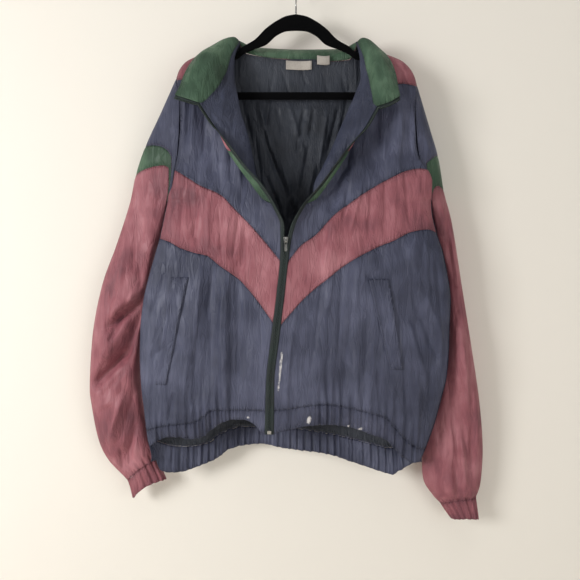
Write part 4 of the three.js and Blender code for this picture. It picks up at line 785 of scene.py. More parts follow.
class CollarForm:
    """The collar's face, by place round the neck (0 left zip end, 1 right) and height (0 seam, 1 top)."""

    def __init__(self, fronts: dict[Side, FrontForm]) -> None:
        """Keeps the fronts, on whose neck edge the collar stands."""
        self.fronts = fronts
        self.noise = Crinkle(41)

    def neck_line(self, place: Array) -> Array:
        """The seam round the neck: along the left front, the back and the right front."""
        ends = {}
        for side, reach in ((Side.LEFT, place), (Side.RIGHT, 1 - place)):
            share = ROLL * np.clip(reach, 0, SIDE_NECK) / SIDE_NECK
            ends[side] = self.fronts[side].shell(share, self.fronts[side].neck_top(share))
        t = np.clip((place - SIDE_NECK) / (1 - 2 * SIDE_NECK), 0, 1)
        x = mix(NECK_POINT[Side.LEFT], NECK_POINT[Side.RIGHT], t)
        back = np.stack([x, BACK_NECK.read("y", x), BACK_NECK.read("z", x)], -1)
        points = np.where((place < SIDE_NECK)[..., None], ends[Side.LEFT], back)
        return np.where((place > 1 - SIDE_NECK)[..., None], ends[Side.RIGHT], points)

    def shell(self, place: Array, height: Array) -> Array:
        """Every point of the collar: a bow from the neck seam through the fold to the top edge.

        Args:
            place: places round the neck.
            height: shares of the collar's height.

        Returns:
            Points with the collar's creases.
        """
        place, height = np.broadcast_arrays(np.asarray(place, float), np.asarray(height, float))
        neck = self.neck_line(place)
        fold = np.stack([COLLAR_ROWS.read(f"fold{axis}", place) for axis in "XYZ"], -1)
        top = np.stack([COLLAR_ROWS.read(f"top{axis}", place) for axis in "XYZ"], -1)
        up = (fold - neck) / np.linalg.norm(fold - neck, axis=-1, keepdims=True)
        neck = neck - 1.2 * up
        from_middle = np.abs(place - 0.5)
        neck[..., 2] += 1.5 * smooth_step(0.5 - from_middle, 0.16, 0.27) * smooth_step(from_middle, 0.08, 0.14)
        control = 2 * fold - 0.5 * neck - 0.5 * top
        h = height[..., None]
        points = neck * (1 - h) ** 2 + control * 2 * h * (1 - h) + top * h * h
        inside = np.sin(np.pi * np.clip(height, 0.02, 1)) ** 0.5
        bumps = COLLAR_CREASES.depth(points[..., 0], points[..., 2])
        bumps = bumps + 0.8 * self.noise.waves(points[..., 0], points[..., 2], 9, 22, -0.4)
        points[..., 1] += bumps * inside * smooth_step(0.5 - from_middle, 0.0, 0.02)
        return points


def linear(hex_colour: str) -> tuple[float, float, float, float]:
    """An sRGB hex colour as linear RGBA."""
    values = np.array([int(hex_colour[k : k + 2], 16) / 255 for k in (1, 3, 5)])
    curved = np.where(values <= 0.04045, values / 12.92, ((values + 0.055) / 1.055) ** 2.4)
    return (*map(float, curved), 1.0)


def add_node(tree: bpy.types.NodeTree, kind: str, inputs: dict | None = None, **settings: object) -> bpy.types.Node:
    """Adds a node with its settings and links.

    Args:
        tree: the material's node tree.
        kind: the node's type name.
        inputs: socket name or number to a value, or to another node's output socket.
        settings: the node's own properties.

    Returns:
        The new node.
    """
    node = tree.nodes.new(kind)
    for name, value in settings.items():
        setattr(node, name, value)
    for key, value in (inputs or {}).items():
        if isinstance(value, bpy.types.NodeSocket):
            tree.links.new(value, node.inputs[key])
        else:
            node.inputs[key].default_value = value
    return node


def new_material(name: str) -> tuple[bpy.types.Material, bpy.types.NodeTree, bpy.types.Node]:
    """An empty node material with its output node."""
    material = bpy.data.materials.new(name)
    material.use_nodes = True
    tree = material.node_tree
    tree.nodes.clear()
    return material, tree, add_node(tree, "ShaderNodeOutputMaterial")


@dataclass(frozen=True)
class Nylon:
    """Thin woven nylon, washed until it crinkles: soft sheen, with painted highlight on the crests and painted shade in
    the hollows.
    """

    name: str
    highlight_crest: str
    body: str
    shaded_hollow: str
    roughness: float = 0.54
    sheen: float = 0.25
    crinkle_mm: float = 11.0
    relief_mm: float = 0.9

    def build(self) -> bpy.types.Material:
        """The material: colour and bump both follow one stretched noise of the crinkle's size; the colour paints
        highlight on the bump's crests and shade in its hollows.
        """
        material, tree, output = new_material(self.name)
        place = add_node(tree, "ShaderNodeTexCoord").outputs["Object"]
        per_m = 1000 / self.crinkle_mm
        stretched = add_node(tree, "ShaderNodeMapping", {"Vector": place, "Scale": (per_m, per_m, per_m / 5)})
        crinkle = add_node(tree, "ShaderNodeTexNoise", {
            "Vector": stretched.outputs[0], "Scale": 1.0, "Detail": 3.0, "Roughness": 0.55, "Distortion": 0.6})
        # Ridges stand where the noise passes its middle, which gives short sharp creases
        fold = add_node(tree, "ShaderNodeMath", {0: crinkle.outputs["Fac"], 1: 0.5}, operation="SUBTRACT")
        ridge = add_node(tree, "ShaderNodeMath", {0: fold.outputs[0]}, operation="ABSOLUTE")
        sharp = add_node(tree, "ShaderNodeMapRange", {
            "Value": ridge.outputs[0], "From Min": 0.0, "From Max": 0.08, "To Min": 0.0, "To Max": 1.0})
        # The thread's own grain is finer than a pixel, so it is drawn about 1.4 mm wide
        grain = add_node(tree, "ShaderNodeTexNoise", {
            "Vector": place, "Scale": 700.0, "Detail": 1.5, "Roughness": 0.5})
        fade = add_node(tree, "ShaderNodeTexNoise", {"Vector": place, "Scale": 11.0, "Detail": 2.5, "Roughness": 0.6})
        blotch = add_node(tree, "ShaderNodeMapRange", {
            "Value": fade.outputs["Fac"], "From Min": 0.3, "From Max": 0.7, "To Min": 0.0, "To Max": 1.0})
        level = add_node(tree, "ShaderNodeMath", {
            0: blotch.outputs[0], 1: 0.42, 2: 0.14}, operation="MULTIPLY_ADD")
        # The crinkle's share paints highlight on its crests and shade in its hollows; the blotches are the cloth's
        # random tone
        level = add_node(tree, "ShaderNodeMath", {
            0: crinkle.outputs["Fac"], 1: 0.44, 2: level.outputs[0]}, operation="MULTIPLY_ADD")
        ramp = add_node(tree, "ShaderNodeValToRGB", {"Fac": level.outputs[0]})
        ramp.color_ramp.elements[0].position, ramp.color_ramp.elements[1].position = 0.3, 0.82
        ramp.color_ramp.elements[0].color = linear(self.shaded_hollow)
        ramp.color_ramp.elements[1].color = linear(self.highlight_crest)
        ramp.color_ramp.elements.new(0.55).color = linear(self.body)
        # Painted shade: near the sunk sewn edges the colour moves towards the darkest ramp colour
        seam = add_node(tree, "ShaderNodeAttribute", attribute_name="seam")
        shade = add_node(tree, "ShaderNodeMath", {0: seam.outputs["Fac"], 1: 0.4}, operation="MULTIPLY")
        dark = add_node(tree, "ShaderNodeMix", {
            0: shade.outputs[0], 6: ramp.outputs["Color"], 7: linear(self.shaded_hollow)}, data_type="RGBA")
        wear = add_node(tree, "ShaderNodeAttribute", attribute_name="wear")
        patchy = add_node(tree, "ShaderNodeTexNoise", {"Vector": place, "Scale": 420.0, "Detail": 2.0})
        worn = add_node(tree, "ShaderNodeMath", {
            0: wear.outputs["Fac"], 1: patchy.outputs["Fac"]}, operation="MULTIPLY")
        spots = add_node(tree, "ShaderNodeMapRange", {
            "Value": worn.outputs[0], "From Min": 0.22, "From Max": 0.42, "To Min": 0.0, "To Max": 1.0})
        colour = add_node(tree, "ShaderNodeMix", {
            0: spots.outputs[0], 6: dark.outputs[2], 7: linear("#c9c6c6")}, data_type="RGBA")
        pucker = add_node(tree, "ShaderNodeMath", {
            0: seam.outputs["Fac"], 1: 4.0, 2: 1.0}, operation="MULTIPLY_ADD")
        height = add_node(tree, "ShaderNodeMath", {
            0: sharp.outputs[0], 1: pucker.outputs[0]}, operation="MULTIPLY")
        soft = add_node(tree, "ShaderNodeMath", {
            0: crinkle.outputs["Fac"], 1: 1.6, 2: height.outputs[0]}, operation="MULTIPLY_ADD")
        coarse = add_node(tree, "ShaderNodeBump", {
            "Height": soft.outputs[0], "Strength": 0.6, "Distance": self.relief_mm * MM})
        bump = add_node(tree, "ShaderNodeBump", {
            "Height": grain.outputs["Fac"], "Normal": coarse.outputs[0], "Strength": 0.3, "Distance": 0.00025})
        gloss = add_node(tree, "ShaderNodeMapRange", {
            "Value": crinkle.outputs["Fac"], "From Min": 0.3, "From Max": 0.7,
            "To Min": self.roughness + 0.08, "To Max": self.roughness - 0.06})
        surface = add_node(tree, "ShaderNodeBsdfPrincipled", {
            "Base Color": colour.outputs[2], "Roughness": gloss.outputs[0], "IOR": 1.53,
            "Specular IOR Level": 0.28, "Sheen Weight": self.sheen, "Sheen Roughness": 0.4,
            "Sheen Tint": linear(self.highlight_crest), "Normal": bump.outputs[0]})
        tree.links.new(surface.outputs[0], output.inputs["Surface"])
        return material


@dataclass(frozen=True)
class Plain:
    """A moulded, woven or metal finish: one colour with a fine grain that gives soft variation."""

    name: str
    base: str
    shade: str
    roughness: float
    grain_mm: float
    relief_mm: float
    metallic: float = 0.0
    sheen: float = 0.0
    ior: float = 1.5

    def build(self) -> bpy.types.Material:
        """The material: a noise of the grain's size varies colour, gloss and bump."""
        material, tree, output = new_material(self.name)
        place = add_node(tree, "ShaderNodeTexCoord").outputs["Object"]
        grain = add_node(tree, "ShaderNodeTexNoise", {
            "Vector": place, "Scale": 1000 / self.grain_mm, "Detail": 3.0, "Roughness": 0.6})
        cloud = add_node(tree, "ShaderNodeTexNoise", {"Vector": place, "Scale": 30.0, "Detail": 2.0})
        both = add_node(tree, "ShaderNodeMath", {
            0: grain.outputs["Fac"], 1: cloud.outputs["Fac"]}, operation="ADD")
        level = add_node(tree, "ShaderNodeMapRange", {"Value": both.outputs[0], "From Min": 0.75, "From Max": 1.25})
        colour = add_node(tree, "ShaderNodeMix", {
            0: level.outputs[0], 6: linear(self.shade), 7: linear(self.base)}, data_type="RGBA")
        bump = add_node(tree, "ShaderNodeBump", {
            "Height": grain.outputs["Fac"], "Strength": 0.5, "Distance": self.relief_mm * MM})
        gloss = add_node(tree, "ShaderNodeMapRange", {
            "Value": cloud.outputs["Fac"], "From Min": 0.3, "From Max": 0.7,
            "To Min": max(self.roughness - 0.05, 0.02), "To Max": self.roughness + 0.05})
        surface = add_node(tree, "ShaderNodeBsdfPrincipled", {
            "Base Color": colour.outputs[2], "Roughness": gloss.outputs[0], "Metallic": self.metallic,
            "IOR": self.ior, "Sheen Weight": self.sheen, "Normal": bump.outputs[0]})
        tree.links.new(surface.outputs[0], output.inputs["Surface"])
        return material


@dataclass
class Finishes:
    """Every finish of the jacket and the hanger, built once."""

    navy: bpy.types.Material
    navy_low: bpy.types.Material
    burgundy: bpy.types.Material
    green: bpy.types.Material
    lining: bpy.types.Material
    tape: bpy.types.Material
    coil: bpy.types.Material
    navy_thread: bpy.types.Material
    burgundy_thread: bpy.types.Material
    label: bpy.types.Material
    metal: bpy.types.Material
    wire: bpy.types.Material
    velvet: bpy.types.Material

    @classmethod
    def make(cls) -> Finishes:
        """Builds the materials."""
        return cls(
            navy=Nylon("navy_crinkled_nylon", "#53566b", "#3e4154", "#2b2e3f").build(),
            # A darker copy of the navy nylon, painted shade for the facings on the lapels' inner side
            navy_low=Nylon("navy_nylon_shaded_copy", "#3d4153", "#2e3243", "#212432", relief_mm=1.0).build(),
            burgundy=Nylon("burgundy_crinkled_nylon", "#a36c73", "#885058", "#633942").build(),
            green=Nylon("green_crinkled_nylon", "#566f59", "#3a5240", "#26382b").build(),
            lining=Nylon("charcoal_lining", "#373b44", "#2b2f38", "#1e2128", crinkle_mm=8.0).build(),
            tape=Plain("woven_zip_tape", "#1d2a28", "#10181a", 0.75, 1.0, 0.2).build(),
            coil=Plain("moulded_zip_coil", "#26352f", "#141c1a", 0.4, 1.4, 0.1).build(),
            navy_thread=Plain("navy_thread", "#2b2e40", "#171926", 0.6, 0.8, 0.1, sheen=0.1).build(),
            burgundy_thread=Plain("burgundy_thread", "#5b2936", "#3b1822", 0.6, 0.8, 0.1, sheen=0.1).build(),
            label=Plain("woven_label", "#b5aea6", "#8d867f", 0.8, 0.9, 0.15, sheen=0.2).build(),
            metal=Plain("polished_zip_metal", "#d5d5d2", "#a9a9a6", 0.28, 1.5, 0.03, metallic=1.0).build(),
            wire=Plain("polished_hook_wire", "#c2c2c2", "#9a9a9c", 0.25, 2.0, 0.02, metallic=1.0).build(),
            velvet=Plain("black_flocking", "#060607", "#020203", 0.97, 1.1, 0.3, sheen=0.02, ior=1.16).build(),
        )


def build_object(name: str, points: Array, faces: Array, layers: dict[str, Array] | None = None) -> bpy.types.Object:
    """Puts points in millimetres and faces into a new mesh object at the origin.

    Args:
        name: the object's name.
        points: vertices, one row each.
        faces: vertex numbers, one row each.
        layers: named float values for each vertex.

    Returns:
        The linked object, shaded smooth.
    """
    mesh = bpy.data.meshes.new(name)
    mesh.from_pydata((points.reshape(-1, 3) * MM).tolist(), [], faces.tolist())
    mesh.polygons.foreach_set("use_smooth", np.ones(len(mesh.polygons), dtype=bool))
    for layer, values in (layers or {}).items():
        attribute = mesh.attributes.new(layer, "FLOAT", "POINT")
        attribute.data.foreach_set("value", np.ascontiguousarray(values, dtype=np.float32).ravel())
    mesh.update()
    obj = bpy.data.objects.new(name, mesh)
    bpy.context.collection.objects.link(obj)
    return obj


def grid_faces(rows: int, columns: int, closed: bool = False, flip: bool = False) -> Array:
    """Four-sided faces between neighbouring rows and columns of a grid."""
    r, c = np.meshgrid(np.arange(rows - 1), np.arange(columns if closed else columns - 1), indexing="ij")
    n = (c + 1) % columns
    faces = np.stack([r * columns + c, r * columns + n, (r + 1) * columns + n, (r + 1) * columns + c], -1)
    faces = faces.reshape(-1, 4)
    return faces[:, ::-1] if flip else faces


def arc_lengths(points: Array, axis: int) -> Array:
    """The lengths of a grid's lines along one axis."""
    return np.linalg.norm(np.diff(points, axis=axis), axis=-1).sum(axis=axis)


def area_of(points: Array, closed: bool = False) -> float:
    """The area of a grid of points, from the two triangles of each cell."""
    if closed:
        points = np.concatenate([points, points[:, :1]], axis=1)
    a, b, c, d = points[:-1, :-1], points[:-1, 1:], points[1:, 1:], points[1:, :-1]
    first = np.linalg.norm(np.cross(b - a, c - a), axis=-1)
    return float((first + np.linalg.norm(np.cross(c - a, d - a), axis=-1)).sum() / 2)


def edge_ease(points: Array, closed: bool = False, reach: float = 5.0) -> Array:
    """How near each point lies to the piece's sewn edges: 1 at an edge, falling off over a few mm."""
    along = np.linalg.norm(np.diff(points, axis=0), axis=-1)
    from_top = np.concatenate([np.zeros((1, points.shape[1])), np.cumsum(along, axis=0)])
    distance = np.minimum(from_top, from_top[-1] - from_top)
    if not closed:
        across = np.linalg.norm(np.diff(points, axis=1), axis=-1)
        from_start = np.concatenate([np.zeros((points.shape[0], 1)), np.cumsum(across, axis=1)], axis=1)
        distance = np.minimum(distance, from_start[:, -1:] - from_start)
    return np.exp(-((distance / reach) ** 1.5))


WORN_SPOTS = ((-26, -712, 2.2, 10), (-28, -730, 2.6, 12), (-30, -750, 2.4, 12), (-32, -770, 2.0, 9),
              (22, -832, 3.5, 8), (25, -828, 3, 6), (95, -842, 3, 3), (117, -848, 6, 3), (-87, -825, 3, 3))


def worn(points: Array) -> Array:
    """The pale worn spots: a bell round each spot's centre."""
    x, y, z = np.moveaxis(points, -1, 0)
    total = np.zeros(x.shape)
    for spot_x, spot_z, wide, high in WORN_SPOTS:
        total = total + np.exp(-(((x - spot_x) / wide) ** 2) - ((z - spot_z) / high) ** 2)
    return np.clip(total * (y < -20), 0, 1)


# A cut that fills less than the first share of its oblong is stated as a strip filled to the second
LEAST_FILL, TAPER_FILL = 0.32, 0.45


@dataclass
class ClothPiece:
    """One cut of cloth: a grid of points on its outer face, given a thin wall, with its cut size logged."""

    name: str
    node: str
    slot: str
    points: Array
    material: bpy.types.Material
    hangs_from: str
    closed: bool = False
    flip: bool = False
    thickness: float = WALL
    held: str = "hung"
    dip: float = 0.7
    least_cut: float = 10.5

    def build(self) -> bpy.types.Object:
        """Makes the object, sinks its sewn edges a little and states the cut it was made from.

        Returns:
            The finished piece, which rides on the jacket and stands for its node.
        """
        rows, columns = self.points.shape[:2]
        near = edge_ease(self.points, self.closed)
        normals = normals_of(self.points) * (-1 if self.flip else 1)
        shaped = self.points + normals * (self.dip * near)[..., None]
        faces = grid_faces(rows, columns, self.closed, not self.flip)
        # The seam layer puckers the bump and paints shade near the sunk edges
        obj = build_object(self.name, shaped, faces, {"seam": near, "wear": worn(self.points)})
        wall = obj.modifiers.new("wall", "SOLIDIFY")
        wall.thickness, wall.offset = self.thickness * MM, -1
        obj.data.materials.append(self.material)
        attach(obj, BODY)
        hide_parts(self.node)
        width = max(arc_lengths(self.points, 1).max(), self.least_cut) * MM
        length = arc_lengths(self.points, 0).max() * MM
        area = min(area_of(self.points, self.closed) * MM * MM, width * length)
        # A strip that tapers to a point is cut as a straight strip of about half its greatest height
        if area < LEAST_FILL * width * length:
            length = area / (TAPER_FILL * width)
        log.info("%s: %d x %d points, cut %.0f x %.0f mm", self.name, rows, columns, width * 1000, length * 1000)
        return obj


def stitches(name: str, lines: Sequence[tuple[Array, Array]], material: bpy.types.Material,
             pitch: float = 4.2, length: float = 3.0, radius: float = 0.5) -> bpy.types.Object:
    """Rows of stitches, each a small six-cornered bead laid along its line.

    Args:
        name: the piece's name.
        lines: points of each line and the outward normals there, in millimetres.
        material: the thread.
        pitch: the step from stitch to stitch.
        length: the length of a stitch.
        radius: the thread's half width, drawn a little coarse so that it shows.

    Returns:
        One object with all stitches.
    """
    corners, faces, count = [], [], 0
    octahedron = np.array([(0, 2, 3), (0, 3, 4), (0, 4, 5), (0, 5, 2), (1, 3, 2), (1, 4, 3), (1, 5, 4), (1, 2, 5)])
    for points, normals in lines:
        steps = np.linalg.norm(np.diff(points, axis=0), axis=-1)
        run = np.concatenate([[0], np.cumsum(steps)])
        middles = np.arange(pitch, run[-1] - pitch, pitch)
        if not len(middles):
            continue
        at = lambda s, values: np.stack([np.interp(s, run, values[:, k]) for k in range(3)], -1)
        start, end = at(middles - length / 2, points), at(middles + length / 2, points)
        lift = at(middles, normals)
        lift /= np.linalg.norm(lift, axis=-1, keepdims=True)
        aside = np.cross(end - start, lift)
        aside *= radius / np.linalg.norm(aside, axis=-1, keepdims=True)
        centre = at(middles, points) + lift * radius * 0.6
        beads = np.stack([start, end, centre + aside, centre + lift * radius, centre - aside,
                          centre - lift * radius], 1)
        corners.append(beads.reshape(-1, 3))
        faces.append((octahedron[None] + (count + 6 * np.arange(len(middles)))[:, None, None]).reshape(-1, 3))
        count += 6 * len(middles)
    obj = build_object(name, np.concatenate(corners), np.concatenate(faces))
    obj.data.materials.append(material)
    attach(obj, BODY)
    log.info("%s: %d stitches", name, count // 6)
    return obj


def on_surface(points: Array, flip: bool, dip: float = 0.5) -> tuple[Array, Array]:
    """The middle row of a three-row strip and its outward normals, for stitches to lie on."""
    normals = normals_of(points) * (1 if flip else -1)
    return points[1] - normals[1] * dip, normals[1]


@dataclass
class Fronts:
    """Both fronts: yoke, stripe, upper, chevron band, lower panel and gathered hem band."""

    finishes: Finishes
    forms: dict[Side, FrontForm]
    row_mm: float = 3.5

    def shares(self, last: float = 1.0) -> Array:
        """Columns, closer together over the lapel's fold and at the side."""
        parts = [np.linspace(0, 0.17, 20), np.linspace(0.178, 0.285, 18), np.linspace(0.295, 0.86, 82),
                 np.linspace(0.868, 1, 18)]
        columns = np.concatenate(parts)
        return columns if last == 1 else np.append(columns[columns < last - 0.004], last)

    def panel(self, side: Side, part: str, top: str, bottom: str, look: str, hangs_from: str, last: float = 1) -> None:
        """One panel between two seams.

        Args:
            side: which front.
            part: the panel's name in the solids.
            top: the seam above.
            bottom: the seam below.
            look: the finish's name.
            hangs_from: the piece above it.
            last: the share of the cloth at which the panel ends.
        """
        form = self.forms[side]
        shares = self.shares(last) if part != "hem_band" else np.linspace(0, 1, 260)
        upper, lower = form.seam(top, shares), form.seam(bottom, shares)
        rows = max(int(np.ceil((upper - lower).max() / self.row_mm)) + 1, 6)
        v = np.linspace(0, 1, rows)[:, None]
        if top == "top":
            v = v**1.6
        heights = mix(upper - 0.15, lower + 0.15, v)
        points = form.shell(np.broadcast_to(shares, heights.shape), heights)
        node = f"{part}_{side.value}"
        ClothPiece(f"{node}_cloth", node, f"{look}_nylon", points, getattr(self.finishes, look), hangs_from,
                   flip=side is Side.LEFT).build()

    def seam_lines(self, side: Side, name: str, offsets: Sequence[float], low: float, high: float) -> list:
        """Lines that run beside a seam at the given heights above it."""
        form = self.forms[side]
        shares = self.shares()
        shares = shares[(shares >= low) & (shares <= high)]
        base = form.seam(name, shares)
        lines = []
        for offset in offsets:
            heights = np.stack([base + offset + 1, base + offset, base + offset - 1])
            points = form.shell(np.broadcast_to(shares, heights.shape), heights)
            lines.append(on_surface(points, side is Side.LEFT))
        return lines

    def build(self) -> None:
        """Makes every panel of both fronts and their topstitching."""
        for side in Side:
            tail = f"_{side.value}_cloth"
            self.panel(side, "front_yoke", "top", "yoke", "burgundy", "hanger_arms_velvet")
            self.panel(side, "front_stripe", "yoke", "stripe", "green", "front_yoke" + tail, STRIPE_SHARE)
            self.panel(side, "front_upper", "stripe", "band_top", "navy", "front_stripe" + tail)
            self.panel(side, "front_band", "band_top", "band_bottom", "burgundy", "front_upper" + tail)
            self.panel(side, "front_lower", "band_bottom", "hem_seam", "navy", "front_band" + tail)
            self.panel(side, "hem_band", "hem_seam", "hem_edge", "navy", "front_lower" + tail)
            red = self.seam_lines(side, "band_top", (-2, -8), 0.0, 1.0)
            red += self.seam_lines(side, "band_bottom", (2, 8), 0.0, 1.0)
            stitches(f"band_stitching_{side.value}", red, self.finishes.burgundy_thread)
            dark = self.seam_lines(side, "yoke", (2, 7), 0.3, 1.0) + self.seam_lines(side, "hem_seam", (2,), 0, 1)
            dark += self.seam_lines(side, "hem_seam", (-14, -27), 0.24, 0.98)
            stitches(f"front_stitching_{side.value}", dark, self.finishes.navy_thread)


@dataclass
class Backs:
    """The back: yoke, panel, gathered hem band and the lining inside."""

    finishes: Finishes
    form: BackForm
    row_mm: float = 5.0

    def places(self, reach: float = 1.0) -> Array:
        """Places across, closer together at both sides."""
        t = np.linspace(-1, 1, 121)
        return reach * np.sin(t * np.pi / 2) * 0.45 + reach * t * 0.55

    def panel(self, node: str, top: str, bottom: str, look: str, hangs_from: str) -> None:
        """One panel between two seams, with its node, seams, finish and the piece above it."""
        across = self.places() if node != "hem_band_back" else np.linspace(-1, 1, 360)
        upper, lower = self.form.seam(top, across), self.form.seam(bottom, across)
        rows = max(int(np.ceil((upper - lower).max() / self.row_mm)) + 1, 8)
        v = np.linspace(0, 1, rows)[:, None]
        if top == "top":
            v = v**1.6
        heights = mix(upper - 0.15, lower + 0.15, v)
        points = self.form.shell(np.broadcast_to(across, heights.shape), heights)
        ClothPiece(f"{node}_cloth", node, f"{look}_nylon", points, getattr(self.finishes, look), hangs_from).build()

    def lining(self) -> None:
        """The lining, from just below the neck seam to the hem seam."""
        across = np.linspace(-0.93, 0.93, 180)
        top = self.form.seam("top", across)
        start = top - 1.5
        v = np.linspace(0, 1, 250)[:, None] ** 1.25
        heights = mix(start, self.form.seam("hem_seam", across) + 4, v)
        points = self.form.lining(np.broadcast_to(across, heights.shape), heights)
        ClothPiece("lining_back_cloth", "lining_back", "lining", points, self.finishes.lining,
                   "back_yoke_cloth", dip=0).build()

    def build(self) -> None:
        """Makes the back's pieces and their topstitching."""
        self.panel("back_yoke", "top", "yoke", "burgundy", "hanger_arms_velvet")
        self.panel("back_panel", "yoke", "hem_seam", "navy", "back_yoke_cloth")
        self.panel("hem_band_back", "hem_seam", "hem_edge", "navy", "back_panel_cloth")
        self.lining()
        across = self.places()
        lines = []
        for name, offset in (("yoke", 2), ("yoke", 8), ("hem_seam", 2), ("hem_seam", -15), ("hem_seam", -28)):
            base = self.form.seam(name, across) + offset
            heights = np.stack([base + 1, base, base - 1])
            points = self.form.shell(np.broadcast_to(across, heights.shape), heights)
            lines.append(on_surface(points, False))
        stitches("back_stitching", lines, self.finishes.navy_thread)


@dataclass
class Sleeve:
    """One sleeve: upper part, stripe, lower part and gathered cuff."""

    finishes: Finishes
    form: SleeveForm

    def seam(self, number: int, angle: Array) -> Array:
        """The loop number of a seam at each angle: 0 and 1 are the stripe's, 2 the cuff's, 3 the cuff's end."""
        level = np.full(np.shape(angle), float(self.form.seams[number]))
        if number > 1:
            return level
        reach, pace = STRIPE_CLIMB[self.form.side][number]
        return mix(level, reach, np.minimum(1, pace * (1 - np.cos(angle)) / 2))

    def tube(self, part: str, look: str, start: Array, end: Array, rows: int, hangs_from: str) -> None:
        """One closed part of the sleeve between two seams, given by loop number at each angle."""
        angle = np.linspace(0, 2 * np.pi, AROUND + 1)[:-1]
        along = mix(start, end - 0.002, np.linspace(0, 1, rows)[:, None])
        points = self.form.shell(np.broadcast_to(angle, along.shape), along)
        node = f"{part}_{self.form.side.value}"
        ClothPiece(f"{node}_cloth", node, f"{look}_nylon", points, getattr(self.finishes, look), hangs_from,
                   closed=True, flip=self.form.side is Side.RIGHT).build()

    def build(self) -> None:
        """Makes the sleeve's parts and their stitching."""
        angle = np.linspace(0, 2 * np.pi, AROUND + 1)[:-1]
        inward = (1 - np.cos(angle)) / 2
        stripe, lower, cuff, end = (self.seam(number, angle) for number in range(4))
        tail = f"_{self.form.side.value}_cloth"
        self.tube("sleeve_upper", "navy", 0.004 + 0.15 * smooth_step(inward, 0, 0.6), stripe, 34, "back_yoke_cloth")
        self.tube("sleeve_stripe", "green", stripe + 0.002, lower, 14, "sleeve_upper" + tail)
        self.tube("sleeve_lower", "burgundy", lower + 0.002, cuff, 156, "sleeve_stripe" + tail)
        self.tube("cuff", "burgundy", cuff + 0.01, end, 12, "sleeve_lower" + tail)
        lines = []
        for along in (stripe - 0.05, lower + 0.06, cuff - 0.05, cuff + 0.4, cuff + 0.7):
            steps = np.stack([along - 0.01, along, along + 0.01])
            points = self.form.shell(np.broadcast_to(angle, steps.shape), steps)
            lines.append(on_surface(points, self.form.side is Side.RIGHT))
        stitches(f"sleeve_stitching_{self.form.side.value}", lines, self.finishes.burgundy_thread)


@dataclass
class Collar:
    """The open collar and the facings that show on the turned-out lapels."""

    finishes: Finishes
    form: CollarForm

    def facing(self, side: Side) -> None:
        """The facing: the front's own points moved to its inner side, from the collar to below the slider."""
        front = self.form.fronts[side]
        shares = np.concatenate([np.linspace(-0.005, 0.17, 26), np.linspace(0.178, 0.27, 20)])
        top = front.neck_top(np.maximum(shares, 0)) + 1
        heights = mix(top, -500, np.linspace(0, 1, 92)[:, None] ** 1.15)
        points = front.shell(np.broadcast_to(shares, heights.shape), heights)
        inward = normals_of(points) * (-1 if side is Side.LEFT else 1)
        clear = np.minimum(1.4, 0.8 + 6 * shares)
        node = f"facing_{side.value}"
        # The facing wears the darker navy copy: painted shade on the lapel's inner side
        ClothPiece(f"{node}_cloth", node, "navy_nylon", points + inward * clear[:, None],
                   self.finishes.navy_low, f"front_yoke_{side.value}_cloth", flip=side is Side.LEFT,
                   dip=0, held="folded").build()

    def build(self) -> None:
        """Makes the collar and both facings."""
        place = np.linspace(0, 1, 190)
        height = np.linspace(0, 1, 26)[:, None] * np.ones_like(place)
        points = self.form.shell(np.broadcast_to(place, height.shape), height)
        ClothPiece("collar_cloth", "collar", "green_nylon", points, self.finishes.green, "back_yoke_cloth",
                   flip=False, thickness=1.4, dip=0.3, held="folded").build()
        for side in Side:
            self.facing(side)


